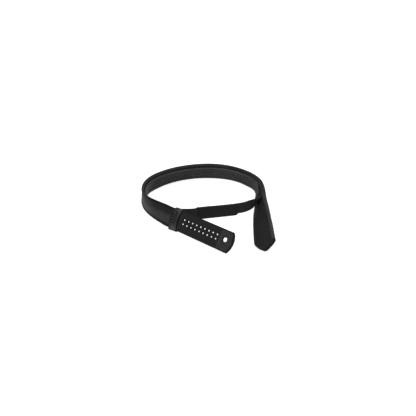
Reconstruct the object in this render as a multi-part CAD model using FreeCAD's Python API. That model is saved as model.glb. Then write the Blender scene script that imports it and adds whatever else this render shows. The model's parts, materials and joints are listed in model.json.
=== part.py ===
import FreeCAD, Part
import math
import os
from FreeCAD import Vector

# Soft two-layer wrist strap. Lengths are in millimetres and angles in degrees.
# "Along" runs from the free end of the perforated tab, round the loop, to the tail's point.
# "Across" is zero at mid width and positive towards the top edge.
# "Out" is zero at mid thickness and positive away from the wrist.

# Outer band
band_width = 16.0
band_face_thickness = 0.7
band_stiffener_thickness = 0.6
band_lining_thickness = 0.6
binding_thickness = 0.25
binding_depth = 1.6
binding_edge = 0.3

# Route of the outer band, seen from above
tab_end_x = 23.5
tab_end_y = -80.0
tab_heading = 138.4
front_run = 79.5
left_radius = 41.5
left_turn = 88.0
back_radius = 58.1
back_turn = 63.4
right_radius = 38.9
tail_heading = -90.0

# Perforated tab
tab_face_thickness = 0.5
tab_core_thickness = 0.4
tab_backing_thickness = 0.5
tab_end_bulge = 3.0
tab_corner_radius = 1.2
hole_radius = 1.0
hole_pitch = 4.22
hole_pairs = 9
first_pair_along = 16.6
row_spacing = 3.35
row_offset = 0.4
stud_hole_radius = 2.1
stud_hole_along = 8.1
stud_hole_offset = 0.8
patch_thickness = 0.3
patch_length = 13.4
patch_inset = 0.9
tab_cover_along = 57.5
tab_hinge_along = 65.5
hinge_gap = 0.5

# Keeper round the tab's root
keeper_along = 59.5
keeper_length = 8.2
keeper_clearance = 0.25
keeper_wall = 0.55
keeper_slant = 8.0
keeper_hem_inset = 0.15
keeper_hem_length = 1.1
keeper_hem_thickness = 0.25
keeper_hem_margin = 2.0
tack_length = 1.7
tack_width = 0.45
tack_height = 0.25
tack_pitch = 2.6
tack_rows = 5
tack_slope = 40.0
tack_columns = (-1.6, 1.2)

# Tail, measured from the place where the band leaves the loop
tail_hinge_back = 9.3
tail_lift_run = 56.2
tail_length = 97.2
tail_point_left = 13.0
tail_point_right = 9.0
tail_tip_radius = 2.5
tail_corner_radius = 1.5

# Liner inside the band
liner_gap = 0.35
liner_backing_thickness = 0.5
liner_padding_thickness = 0.8
liner_bottom = 1.2
liner_top = 13.8
piping_height = 1.0
piping_proud = 0.15
liner_start_run = 10.2

# Closure at the front
strap_width = 9.0
strap_thickness = 0.9
strap_tuck = 9.0
closure_height = 8.1
pile_thickness = 0.3
pile_width = 8.0
hook_gap = 0.25
hook_thickness = 0.3
hook_width = 8.4
hook_end_margin = 1.5
flap_thickness = 0.6
flap_width = 10.2
flap_length = 33.5
flap_corner_radius = 2.6
flap_hinge_x = -3.0
flap_hinge_y = -30.9
flap_heading = 194.0
right_bend_start = 37.2
right_bend_end = 45.6
right_bend_lean = -24.0
right_bend_lean_along = 14.0
left_bend_start = 14.0
left_bend_end = 17.0
left_bend_lean = 9.0

# Fineness of the swept strips
longest_step = 4.0
corner_steps = 5
bend_samples = 60

# Sizes that follow from the ones above
half_width = band_width / 2
stack_thickness = band_face_thickness + band_stiffener_thickness + band_lining_thickness
band_thickness = stack_thickness + 2 * binding_thickness
half_band = band_thickness / 2
half_stack = stack_thickness / 2
half_gap = hinge_gap / 2
tab_thickness = tab_face_thickness + tab_core_thickness + tab_backing_thickness
half_tab = tab_thickness / 2
keeper_growth = keeper_clearance + keeper_wall
right_turn = tab_heading - tail_heading - left_turn - back_turn
liner_out = -(half_band + liner_gap)
liner_thickness = liner_backing_thickness + liner_padding_thickness
liner_mid_out = liner_out - liner_thickness / 2
half_strap = strap_thickness / 2
hook_out = half_strap + pile_thickness + hook_gap
flap_out = hook_out + hook_thickness
flap_mid_out = flap_out + flap_thickness / 2
tip_length = tail_length - tail_lift_run

# Places along the band
left_arc = left_radius * math.radians(left_turn)
back_arc = back_radius * math.radians(back_turn)
right_arc = right_radius * math.radians(right_turn)
back_start_along = front_run + left_arc
right_start_along = back_start_along + back_arc
loop_end_along = right_start_along + right_arc
liner_start_along = front_run + liner_start_run
liner_end_along = loop_end_along
tail_hinge_along = loop_end_along - tail_hinge_back
tail_lift_along = loop_end_along + tail_lift_run
tail_end_along = loop_end_along + tail_length

# How far the band's top edge leans inwards at places along it
lean_points = [
    (tab_hinge_along, 37.0),
    (tab_hinge_along + 0.65 * (front_run - tab_hinge_along), 17.0),
    (front_run + 0.16 * left_arc, -2.0),
    (front_run + 0.5 * left_arc, 2.0),
    (back_start_along, 19.0),
    (back_start_along + 0.5 * back_arc, 26.0),
    (right_start_along, 25.0),
    (right_start_along + 0.5 * right_arc, 21.0),
    (loop_end_along - 0.2 * right_arc, 4.0),
    (loop_end_along + 0.04 * tail_length, -16.0),
    (loop_end_along + 0.25 * tail_length, -33.0),
    (loop_end_along + 0.41 * tail_length, -48.0),
    (loop_end_along + 0.55 * tail_length, -63.0),
]

# The keeper's wall lies between the table and the tab's root, which it holds up
lift_points = [
    (tab_hinge_along, keeper_growth),
    (front_run, keeper_growth * 0.6),
    (front_run + 0.33 * left_arc, 0.0),
]


def smooth_curve(points):
    """A smooth function through (place, value) pairs, level beyond both ends."""
    places = [place for place, _ in points]
    values = [value for _, value in points]
    last = len(points) - 1
    slopes = [0.0] * len(points)
    for i in range(1, last):
        slopes[i] = (values[i + 1] - values[i - 1]) / (places[i + 1] - places[i - 1])

    def value_at(place):
        if place <= places[0]:
            return values[0]
        if place >= places[last]:
            return values[last]
        i = max(j for j in range(last) if places[j] <= place)
        span = places[i + 1] - places[i]
        t = (place - places[i]) / span
        near = (2 * t**3 - 3 * t**2 + 1) * values[i] + (t**3 - 2 * t**2 + t) * span * slopes[i]
        far = (3 * t**2 - 2 * t**3) * values[i + 1] + (t**3 - t**2) * span * slopes[i + 1]
        return near + far

    return value_at


def stations(cuts):
    """Places through every cut, with the spans between them split into even steps."""
    cuts = sorted(cuts)
    places = []
    for start, end in zip(cuts, cuts[1:]):
        count = max(1, math.ceil((end - start) / longest_step))
        places += [start + (end - start) * i / count for i in range(count)]
    return places + [cuts[-1]]


def direction(heading):
    """The level unit vector at a heading in radians."""
    return Vector(math.cos(heading), math.sin(heading), 0)


def inward(heading):
    """The level unit vector to the right of a heading, which is towards the wrist."""
    return Vector(math.sin(heading), -math.cos(heading), 0)


def arc_route(start, heading, runs):
    """A route of straights and right-hand arcs as (length, radius), with radius 0 for a straight."""

    def place(along):
        spot = start
        way = heading
        left = along
        for length, radius in runs:
            step = min(left, length)
            if radius == 0:
                spot = spot + direction(way) * step
            else:
                turned = way - step / radius
                spot = spot + (inward(way) - inward(turned)) * radius
                way = turned
            left -= step
            if left <= 0:
                break
        return spot, way

    return place


def bend_route(start, start_way, start_pull, end, end_way, end_pull):
    """A bend between two points at given headings, with its length."""
    first = start + direction(start_way) * start_pull
    second = end - direction(end_way) * end_pull

    def spot(t):
        u = 1 - t
        return start * u**3 + first * (3 * u * u * t) + second * (3 * u * t * t) + end * t**3

    def slope(t):
        u = 1 - t
        return (first - start) * (3 * u * u) + (second - first) * (6 * u * t) + (end - second) * (3 * t * t)

    marks = [0.0]
    for i in range(bend_samples):
        chord = spot((i + 1) / bend_samples) - spot(i / bend_samples)
        marks.append(marks[-1] + chord.Length)

    def place(along):
        i = max(j for j in range(bend_samples) if marks[j] <= along + 1e-9)
        t = (i + (along - marks[i]) / (marks[i + 1] - marks[i])) / bend_samples
        way = slope(t)
        return spot(t), math.atan2(way.y, way.x)

    return place, marks[-1]


class Ribbon:
    """A strip that follows a route, leans as it goes and keeps its mid line at a height."""

    def __init__(self, place, lean, height, cuts):
        self.place = place
        self.lean = lean
        self.height = height
        self.stations = stations(cuts)

    def axes(self, along):
        """The mid point and the along, across and out directions at one station."""
        spot, way = self.place(along)
        lean = math.radians(self.lean(along))
        across = inward(way) * math.sin(lean) + Vector(0, 0, math.cos(lean))
        out = inward(way) * -math.cos(lean) + Vector(0, 0, math.sin(lean))
        return Vector(spot.x, spot.y, self.height(along)), direction(way), across, out

    def placement(self, along, forwards):
        """A placement on the strip with X along it, or against it, Y across and Z out."""
        mid, way, across, out = self.axes(along)
        side = 1 if forwards else -1
        return FreeCAD.Placement(mid, FreeCAD.Rotation(way * side, across * -side, out, "ZXY"))

    def wires(self, start, end, section_at):
        """The sections at the stations from start to end, as closed wires."""
        wires = []
        for along in self.stations:
            if start - 1e-6 <= along <= end + 1e-6:
                mid, _, across, out = self.axes(along)
                corners = [mid + across * a + out * o for a, o in section_at(along)]
                wires.append(Part.makePolygon(corners + corners[:1]))
        return wires

    def strip(self, start, end, section):
        """The solid that one section, a list of (across, out), sweeps from start to end."""
        return ruled_solid(self.wires(start, end, lambda along: section))


def ruled_solid(wires):
    """The solid with straight lines between neighbouring sections."""
    return Part.makeLoft(wires, True, True)


def box_section(low, high, inner, outer):
    """A rectangle from low to high across and from inner to outer out."""
    return [(low, inner), (high, inner), (high, outer), (low, outer)]


def binding_section(side):
    """A tape folded over the band's edge, the top edge with side 1 and the bottom with side -1."""
    edge = side * half_width
    mouth = side * (half_width - binding_depth)
    fold = side * (half_width - binding_edge)
    return [
        (mouth, half_stack),
        (mouth, half_band),
        (edge, half_band),
        (edge, -half_band),
        (mouth, -half_band),
        (mouth, -half_stack),
        (fold, -half_stack),
        (fold, half_stack),
    ]


def band_ribbon():
    """The outer band's ribbon, from the tab's end to the tail's point."""
    runs = [
        (front_run, 0),
        (left_arc, left_radius),
        (back_arc, back_radius),
        (right_arc, right_radius),
        (tail_length, 0),
    ]
    lean = smooth_curve(lean_points)
    lift = smooth_curve(lift_points)

    def height(along):
        angle = math.radians(lean(along))
        return half_width * math.cos(angle) + half_band * abs(math.sin(angle)) + lift(along)

    cuts = [0, tail_end_along, liner_start_along, liner_end_along]
    for hinge in (tab_hinge_along, tail_hinge_along, tail_lift_along):
        cuts += [hinge - half_gap, hinge + half_gap]
    route = arc_route(Vector(tab_end_x, tab_end_y, 0), math.radians(tab_heading), runs)
    return Ribbon(route, lean, height, cuts)


def layers():
    """The band's layers as (name, inner face, outer face)."""
    lining_outer = -half_stack + band_lining_thickness
    face_inner = half_stack - band_face_thickness
    return [
        ("lining", -half_stack, lining_outer),
        ("stiffener", lining_outer, face_inner),
        ("face", face_inner, half_stack),
    ]


def bound_stretch(band, start, end, prefix, top_binding, bottom_binding):
    """The three layers of one stretch of the band and the binding on both of its edges."""
    reach = half_width - binding_edge
    nodes = {}
    for name, inner, outer in layers():
        nodes[prefix + "_" + name] = band.strip(start, end, box_section(-reach, reach, inner, outer))
    nodes[top_binding] = band.strip(start, end, binding_section(1))
    nodes[bottom_binding] = band.strip(start, end, binding_section(-1))
    return nodes


def band_pieces(band):
    """The round stretch of the outer band."""
    start = tab_hinge_along + half_gap
    end = tail_hinge_along - half_gap
    return bound_stretch(band, start, end, "band", "band_top_binding", "band_bottom_binding")


def tail_pieces(band):
    """The tail as far as its flat end."""
    start = tail_hinge_along + half_gap
    end = tail_lift_along - half_gap
    return bound_stretch(band, start, end, "tail", "tail_right_binding", "tail_left_binding")


def liner_pieces(band):
    """The padded liner, its backing and the piping along both of its edges."""
    low = liner_bottom - half_width
    high = liner_top - half_width
    low_seam = low + piping_height
    high_seam = high - piping_height
    back = liner_out - liner_backing_thickness
    face = liner_out - liner_thickness
    sections = {
        "liner_padding": box_section(low_seam, high_seam, face, back),
        "liner_backing": box_section(low_seam, high_seam, back, liner_out),
        "liner_bottom_piping": box_section(low, low_seam, face - piping_proud, liner_out),
        "liner_top_piping": box_section(high_seam, high, face - piping_proud, liner_out),
    }
    return {n: band.strip(liner_start_along, liner_end_along, s) for n, s in sections.items()}


def placed(shapes, placement):
    """The shapes moved from their flat frame to a placement."""
    for shape in shapes.values():
        shape.Placement = placement
    return shapes


def line(x0, y0, x1, y1):
    """A straight edge in the flat frame."""
    return Part.makeLine(Vector(x0, y0, 0), Vector(x1, y1, 0))


def polygon_edges(points):
    """The straight edges through the points and back to the first."""
    return [line(*start, *end) for start, end in zip(points, points[1:] + points[:1])]


def plate(edges, bottom, top):
    """A flat plate with the given outline between two heights."""
    face = Part.Face(Part.Wire(edges))
    face.translate(Vector(0, 0, bottom))
    return face.extrude(Vector(0, 0, top - bottom))


def round_corner(solid, x, y, radius):
    """The solid with its upright edge at one corner rounded."""
    for edge in solid.Edges:
        ends = [vertex.Point for vertex in edge.Vertexes]
        if len(ends) == 2 and all(math.hypot(end.x - x, end.y - y) < 0.01 for end in ends):
            return solid.makeFillet(radius, [edge])
    raise ValueError("no corner at the given place")


def perforations():
    """The paired holes of the tab as (x, y, radius)."""
    holes = []
    for pair in range(hole_pairs):
        for side in (-0.5, 0.5):
            x = -(first_pair_along + pair * hole_pitch)
            holes.append((x, row_offset + side * row_spacing, hole_radius))
    return holes


def stud_hole():
    """The snap stud's hole as (x, y, radius)."""
    return -stud_hole_along, stud_hole_offset, stud_hole_radius


def tab_plate(inset, back, bottom, top, holes):
    """One layer of the tab, with its bulged end drawn in by an inset, from the end to a distance along."""
    side = half_width - inset
    corner = -tab_end_bulge - inset
    bulge = Part.Arc(Vector(corner, -side, 0), Vector(-inset, 0, 0), Vector(corner, side, 0))
    edges = [
        line(-back, -side, corner, -side),
        bulge.toShape(),
        line(corner, side, -back, side),
        line(-back, side, -back, -side),
    ]
    solid = round_corner(plate(edges, bottom, top), corner, side, tab_corner_radius)
    for x, y, radius in holes:
        solid = solid.cut(Part.makeCylinder(radius, top - bottom, Vector(x, y, bottom)))
    return solid


def tab_root_plate(bottom, top):
    """A cover over the tab's root, which makes it as thick as the band."""
    back = -(tab_hinge_along - half_gap)
    front = -tab_cover_along
    corners = [(back, -half_width), (front, -half_width), (front, half_width), (back, half_width)]
    return plate(polygon_edges(corners), bottom, top)


def tab_pieces(band):
    """The tab's layers, the covers at its root and the patches round the stud hole."""
    holes = perforations() + [stud_hole()]
    back = tab_hinge_along - half_gap
    core_bottom = -half_tab + tab_backing_thickness
    core_top = half_tab - tab_face_thickness
    shapes = {
        "tab_face": tab_plate(0, back, core_top, half_tab, holes),
        "tab_core": tab_plate(0, back, core_bottom, core_top, holes),
        "tab_backing": tab_plate(0, back, -half_tab, core_bottom, holes),
        "tab_root_cover": tab_root_plate(half_tab, half_band),
        "tab_root_backing": tab_root_plate(-half_band, -half_tab),
    }
    faces = {"front": half_tab, "back": -half_tab - patch_thickness}
    for name, bottom in faces.items():
        patch = tab_plate(patch_inset, patch_length, bottom, bottom + patch_thickness, [stud_hole()])
        shapes["tab_end_patch_" + name] = patch
    return placed(shapes, band.placement(0, False))


def keeper_slide(across):
    """How far the keeper's slant moves it along at a distance across."""
    return across * math.tan(math.radians(keeper_slant))


def keeper_slab(start, end, reach, bottom, top):
    """A slab across the tab whose ends slant as the keeper's do."""
    slide = keeper_slide(reach)
    corners = [(slide - end, -reach), (slide - start, -reach), (-slide - start, reach), (-slide - end, reach)]
    return plate(polygon_edges(corners), bottom, top)


def rounded_bar(start, end, growth):
    """A bar along the tab, larger all round than the band's section by a growth, its corners rounded."""
    reach = half_width + growth
    rise = half_band + growth
    bar = Part.makeBox(end - start, 2 * reach, 2 * rise, Vector(-end, -reach, -rise))
    long_edges = [edge for edge in bar.Edges if abs(edge.tangentAt(edge.FirstParameter).x) > 0.5]
    return bar.makeFillet(growth, long_edges)


def bar_tacks(bottom):
    """The slanting bar tacks that close the keeper, as separate raised stitches."""
    tacks = []
    for column in tack_columns:
        for row in range(tack_rows):
            y = (row - (tack_rows - 1) / 2) * tack_pitch
            x = column - keeper_along - keeper_slide(y)
            corner = Vector(-tack_length / 2, -tack_width / 2, 0)
            tack = Part.makeBox(tack_length, tack_width, tack_height, corner)
            tack.rotate(Vector(0, 0, 0), Vector(0, 0, 1), tack_slope)
            tack.translate(Vector(x, y, bottom))
            tacks.append(tack)
    return Part.makeCompound(tacks)


def keeper_pieces(band):
    """The keeper's cuff, the hem along its mouth and its bar tacks."""
    start = keeper_along - keeper_length / 2
    end = keeper_along + keeper_length / 2
    reach = half_width + keeper_growth
    top = half_band + keeper_growth
    room = keeper_slide(reach) + keeper_growth
    sleeve = rounded_bar(start - room, end + room, keeper_growth)
    sleeve = sleeve.cut(rounded_bar(start - room, end + room, keeper_clearance))
    hem_start = start + keeper_hem_inset
    hem_reach = half_width - keeper_hem_margin
    shapes = {
        "keeper_cuff": sleeve.common(keeper_slab(start, end, reach, -top, top)),
        "keeper_hem": keeper_slab(
            hem_start, hem_start + keeper_hem_length, hem_reach, top, top + keeper_hem_thickness
        ),
        "keeper_tacks": bar_tacks(top),
    }
    return placed(shapes, band.placement(0, False))


def tip_plate(inset, bottom, top):
    """One layer of the tail's pointed end, drawn in by an inset."""
    side = half_width - inset
    left = (tip_length - tail_point_left - inset / 2, side)
    point = (tip_length - inset * 1.4, 0)
    right = (tip_length - tail_point_right - inset / 2, -side)
    corners = [(half_gap, side), (half_gap, -side), right, point, left]
    solid = plate(polygon_edges(corners), bottom, top)
    solid = round_corner(solid, *point, tail_tip_radius)
    for corner in (left, right):
        solid = round_corner(solid, *corner, tail_corner_radius)
    return solid


def tip_binding():
    """The binding folded over the edge of the pointed end, open where the end joins the tail."""
    ring = tip_plate(0, -half_band, half_band)
    ring = ring.cut(tip_plate(binding_depth, -half_band, half_band))
    ring = ring.cut(tip_plate(binding_edge, -half_stack, half_stack))
    mouth = half_width - binding_depth
    return ring.cut(Part.makeBox(binding_depth, 2 * mouth, band_thickness, Vector(0, -mouth, -half_band)))


def tip_pieces(band):
    """The layers of the tail's pointed end and the binding folded round its edge."""
    shapes = {"tail_tip_" + name: tip_plate(binding_edge, inner, outer) for name, inner, outer in layers()}
    shapes["tail_tip_binding"] = tip_binding()
    return placed(shapes, band.placement(tail_lift_along, True))


def level(along):
    """The height of the closure's mid line, the same all along."""
    return closure_height


def corner_places(start, radius):
    """The stations round the corner of a strip's end, from its end face to its full width."""
    return [start + radius * (1 - math.cos(math.pi / 2 * i / corner_steps)) for i in range(corner_steps + 1)]


def hook_corner_radius():
    """The corner radius of the hook tape, which follows the flap's corner."""
    return flap_corner_radius - (flap_width - hook_width) / 2


def left_ribbon(band):
    """The left closure strap's ribbon, from the flap to the liner's left end, and its length."""
    end, end_way = band.place(liner_start_along)
    end = end - inward(end_way) * liner_mid_out
    start = Vector(flap_hinge_x, flap_hinge_y, 0)
    start_way = math.radians(flap_heading)
    route, length = bend_route(start, start_way, left_bend_start, end, end_way, left_bend_end)
    end_lean = band.lean(liner_start_along)
    lean = smooth_curve([(0, 0.0), (length * 0.6, left_bend_lean), (length, end_lean)])
    return Ribbon(route, lean, level, [0, half_gap, strap_tuck, length]), length


def right_ribbon(band):
    """The right closure strap's ribbon, from the liner's right end to the flap, and its length."""
    start, start_way = band.place(liner_end_along)
    start = start - inward(start_way) * liner_mid_out
    end_way = math.radians(flap_heading)
    end = Vector(flap_hinge_x, flap_hinge_y, 0) + inward(end_way) * flap_mid_out
    route, length = bend_route(start, start_way, right_bend_start, end, end_way, right_bend_end)
    start_lean = band.lean(liner_end_along)
    lean = smooth_curve([(0, start_lean), (right_bend_lean_along, right_bend_lean), (length / 2, 0.0)])
    flap_start = length - flap_length
    cuts = [0, length - half_gap, length]
    cuts += corner_places(flap_start, flap_corner_radius)
    cuts += corner_places(flap_start + hook_end_margin, hook_corner_radius())
    return Ribbon(route, lean, level, cuts), length


def strap_pieces(right, right_length, left, left_length):
    """The two closure straps, with the right one tucked behind the left, and the pile on it."""
    reach = strap_width / 2
    strap = box_section(-reach, reach, -half_strap, half_strap)
    tuck = box_section(-reach, reach, -flap_mid_out - half_strap, -flap_mid_out + half_strap)
    right_wires = right.wires(0, right_length, lambda along: strap)
    tuck_wires = left.wires(0, strap_tuck, lambda along: tuck)
    pile = box_section(-pile_width / 2, pile_width / 2, half_strap, half_strap + pile_thickness)
    return {
        "closure_strap_right": ruled_solid(right_wires + tuck_wires[1:]),
        "closure_strap_left": left.strip(half_gap, left_length, strap),
        "closure_pile": right.strip(right_length - flap_length, right_length, pile),
    }


def round_ended(ribbon, start, end, width, radius, inner, outer):
    """A strip whose first end has rounded corners."""

    def section(along):
        short = max(radius - (along - start), 0.0)
        reach = width / 2 - radius + math.sqrt(max(radius**2 - short**2, 0.0))
        return box_section(-reach, reach, inner, outer)

    return ruled_solid(ribbon.wires(start, end, section))


def flap_pieces(right, right_length):
    """The closure flap and the hook tape on its inner face."""
    start = right_length - flap_length
    end = right_length - half_gap
    hook_start = start + hook_end_margin
    flap_outer = flap_out + flap_thickness
    hook_radius = hook_corner_radius()
    return {
        "closure_flap": round_ended(right, start, end, flap_width, flap_corner_radius, flap_out, flap_outer),
        "closure_hook_tape": round_ended(right, hook_start, end, hook_width, hook_radius, hook_out, flap_out),
    }


def build_nodes():
    """Every piece of the strap by its node name."""
    band = band_ribbon()
    left, left_length = left_ribbon(band)
    right, right_length = right_ribbon(band)
    nodes = {}
    nodes.update(band_pieces(band))
    nodes.update(liner_pieces(band))
    nodes.update(strap_pieces(right, right_length, left, left_length))
    nodes.update(flap_pieces(right, right_length))
    nodes.update(tab_pieces(band))
    nodes.update(keeper_pieces(band))
    nodes.update(tail_pieces(band))
    nodes.update(tip_pieces(band))
    return nodes


def origin_shift(nodes):
    """The move that puts the middle of the strap's footprint at the origin."""
    boxes = [shape.optimalBoundingBox(False, False) for shape in nodes.values()]
    x_middle = (min(box.XMin for box in boxes) + max(box.XMax for box in boxes)) / 2
    y_middle = (min(box.YMin for box in boxes) + max(box.YMax for box in boxes)) / 2
    return Vector(-x_middle, -y_middle, -min(box.ZMin for box in boxes))


def export(nodes):
    """Write one STEP file for each piece, moved to the strap's own origin."""
    os.makedirs("parts", exist_ok=True)
    shift = origin_shift(nodes)
    for name, shape in nodes.items():
        moved = shape.copy()
        moved.translate(shift)
        moved.exportStep("parts/" + name + ".step")
        print(name, len(moved.Solids), moved.isValid(), round(moved.Volume, 2))
    print("shift", shift)


export(build_nodes())
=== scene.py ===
import json
import logging
import math
from collections.abc import Callable, Iterable, Sequence
from dataclasses import dataclass, field
from enum import Enum

import bmesh
import bpy
from mathutils import Matrix, Vector


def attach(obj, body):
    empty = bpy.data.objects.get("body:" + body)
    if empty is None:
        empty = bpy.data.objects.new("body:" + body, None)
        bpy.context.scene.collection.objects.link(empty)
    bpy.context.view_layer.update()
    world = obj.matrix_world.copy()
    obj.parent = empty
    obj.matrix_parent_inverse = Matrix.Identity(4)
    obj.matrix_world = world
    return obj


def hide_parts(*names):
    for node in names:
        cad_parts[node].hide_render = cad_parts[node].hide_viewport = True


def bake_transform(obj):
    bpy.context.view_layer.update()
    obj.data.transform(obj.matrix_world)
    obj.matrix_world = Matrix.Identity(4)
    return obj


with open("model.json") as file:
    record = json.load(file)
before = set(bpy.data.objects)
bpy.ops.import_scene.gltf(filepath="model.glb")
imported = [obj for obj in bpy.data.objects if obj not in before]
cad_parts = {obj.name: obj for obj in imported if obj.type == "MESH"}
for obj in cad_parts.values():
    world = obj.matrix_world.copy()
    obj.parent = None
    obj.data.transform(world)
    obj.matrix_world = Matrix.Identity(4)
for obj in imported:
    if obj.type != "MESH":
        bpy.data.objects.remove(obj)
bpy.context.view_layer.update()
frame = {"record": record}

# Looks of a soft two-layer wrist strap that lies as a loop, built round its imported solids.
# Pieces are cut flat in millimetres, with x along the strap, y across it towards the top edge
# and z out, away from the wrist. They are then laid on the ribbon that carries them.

logger = logging.getLogger("wrist_strap")

Pair = tuple[float, float]

METRE = 0.001


# ---- Ribbons: the courses that the strap's layers follow


@dataclass(frozen=True)
class SmoothCurve:
    """A smooth course through (place, value) pairs, level beyond both ends."""

    points: tuple[Pair, ...]

    def _slope(self, i: int) -> float:
        """The slope at one of the pairs, level at both ends."""
        if i in (0, len(self.points) - 1):
            return 0.0
        (x0, y0), (x1, y1) = self.points[i - 1], self.points[i + 1]
        return (y1 - y0) / (x1 - x0)

    def at(self, place: float) -> float:
        """Reads the curve.

        Args:
            place: Where along the ribbon, in millimetres.

        Returns:
            The value there.
        """
        if place <= self.points[0][0]:
            return self.points[0][1]
        if place >= self.points[-1][0]:
            return self.points[-1][1]
        i = max(j for j, (x, _) in enumerate(self.points) if x <= place)
        (x0, y0), (x1, y1) = self.points[i], self.points[i + 1]
        span = x1 - x0
        t = (place - x0) / span
        near = (2 * t**3 - 3 * t**2 + 1) * y0 + (t**3 - 2 * t**2 + t) * span * self._slope(i)
        far = (3 * t**2 - 2 * t**3) * y1 + (t**3 - t**2) * span * self._slope(i + 1)
        return near + far


def heading_vector(heading: float) -> Vector:
    """The level unit vector at a heading in radians."""
    return Vector((math.cos(heading), math.sin(heading), 0.0))


def wrist_side(heading: float) -> Vector:
    """The level unit vector to the right of a heading, which is towards the wrist."""
    return Vector((math.sin(heading), -math.cos(heading), 0.0))


@dataclass(frozen=True)
class ArcRoute:
    """A route of straights and right-hand arcs, seen from above.

    Each run is (length, radius), and a radius of 0 is a straight.
    """

    start: Vector
    heading: float
    runs: tuple[Pair, ...]

    def place(self, along: float) -> tuple[Vector, float]:
        """Finds a place on the route.

        Args:
            along: The distance from the route's start, in millimetres.

        Returns:
            The point there and the heading in radians.
        """
        spot, way, left = self.start.copy(), self.heading, along
        for length, radius in self.runs:
            step = min(left, length)
            if radius:
                turned = way - step / radius
                spot += (wrist_side(way) - wrist_side(turned)) * radius
                way = turned
            else:
                spot += heading_vector(way) * step
            left -= step
            if left <= 0:
                break
        return spot, way


class BendRoute:
    """A bend between two points at given headings, read by its length."""

    SAMPLES = 60
    NO_LENGTH = 1e-9

    def __init__(self, start: Vector, way: float, end: Vector, end_way: float, pulls: Pair) -> None:
        """Lays the bend out.

        Args:
            start: Where it starts.
            way: The heading there, in radians.
            end: Where it ends.
            end_way: The heading there, in radians.
            pulls: How far each end's heading holds, in millimetres.
        """
        leave, arrive = heading_vector(way) * pulls[0], heading_vector(end_way) * pulls[1]
        self.knots = (start, start + leave, end - arrive, end)
        self.marks = [0.0]
        for i in range(self.SAMPLES):
            chord = self._spot((i + 1) / self.SAMPLES) - self._spot(i / self.SAMPLES)
            self.marks.append(self.marks[-1] + chord.length)

    @property
    def length(self) -> float:
        """The bend's length in millimetres."""
        return self.marks[-1]

    def _spot(self, t: float) -> Vector:
        """The point at a share of the bend's parameter."""
        a, b, c, d = self.knots
        u = 1 - t
        return a * u**3 + b * (3 * u * u * t) + c * (3 * u * t * t) + d * t**3

    def _slope(self, t: float) -> Vector:
        """The bend's direction at a share of its parameter, not of unit length."""
        a, b, c, d = self.knots
        u = 1 - t
        return (b - a) * (3 * u * u) + (c - b) * (6 * u * t) + (d - c) * (3 * t * t)

    def place(self, along: float) -> tuple[Vector, float]:
        """Finds a place on the bend.

        Args:
            along: The distance from its start, in millimetres.

        Returns:
            The point there and the heading in radians.
        """
        along = min(max(along, 0.0), self.length)
        i = max(j for j in range(self.SAMPLES) if self.marks[j] <= along + self.NO_LENGTH)
        t = (i + (along - self.marks[i]) / (self.marks[i + 1] - self.marks[i])) / self.SAMPLES
        slope = self._slope(t)
        return self._spot(t), math.atan2(slope.y, slope.x)


Route = ArcRoute | BendRoute


@dataclass(frozen=True)
class Station:
    """One station of a ribbon: its mid point and its across and out directions."""

    mid: Vector
    across: Vector
    out: Vector

    def point(self, across: float, out: float) -> Vector:
        """The point at a distance across and out of the mid line."""
        return self.mid + self.across * across + self.out * out


@dataclass(frozen=True)
class Stray:
    """How far a soft strip's two edges stray from its even course, in millimetres across and out.

    The curves run along the strip. Its half width says where its edges lie.
    """

    half: float
    top_across: SmoothCurve
    low_across: SmoothCurve
    top_out: SmoothCurve
    low_out: SmoothCurve

    def moved(self, along: float, across: float, out: float) -> Pair:
        """Moves a place of the strip.

        Args:
            along: The distance along the strip.
            across: The place across.
            out: The place out.

        Returns:
            The place across and out that the soft strip really takes.
        """
        top, low = 0.5 + across / self.half / 2, 0.5 - across / self.half / 2
        side = self.top_across.at(along) * top + self.low_across.at(along) * low
        return across + side, out + self.top_out.at(along) * top + self.low_out.at(along) * low


class Ribbon:
    """A strip that follows a route, leans as it goes and keeps its mid line at a height."""

    def __init__(
        self, route: Route, lean: SmoothCurve, height: Callable[[float], float], stray: Stray | None = None
    ) -> None:
        """Keeps the strip's course.

        Args:
            route: The way it takes, seen from above.
            lean: How far its top edge leans towards the wrist, in degrees.
            height: The height of its mid line, in millimetres.
            stray: How far the soft strip strays from all that.
        """
        self.route = route
        self.lean = lean
        self.height = height
        self.stray = stray
        self.known: dict[float, Station] = {}

    def station(self, along: float) -> Station:
        """The station at a distance along, worked out once."""
        key = round(along, 4)
        if key not in self.known:
            spot, way = self.route.place(along)
            lean = math.radians(self.lean.at(along))
            side = wrist_side(way)
            across = side * math.sin(lean) + Vector((0, 0, math.cos(lean)))
            out = side * -math.cos(lean) + Vector((0, 0, math.sin(lean)))
            self.known[key] = Station(Vector((spot.x, spot.y, self.height(along))), across, out)
        return self.known[key]

    def point(self, along: float, across: float, out: float) -> Vector:
        """The point at a distance along, across and out, in millimetres."""
        if self.stray:
            across, out = self.stray.moved(along, across, out)
        return self.station(along).point(across, out)


@dataclass(frozen=True)
class JoinedRibbon:
    """One ribbon to its end, and another from its start, further out or in by a shift."""

    first: Ribbon
    joint: float
    second: Ribbon
    shift: float

    def point(self, along: float, across: float, out: float) -> Vector:
        """The point at a distance along, across and out, in millimetres."""
        if along <= self.joint:
            return self.first.point(along, across, out)
        return self.second.point(along - self.joint, across, out + self.shift)


AnyRibbon = Ribbon | JoinedRibbon


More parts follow.
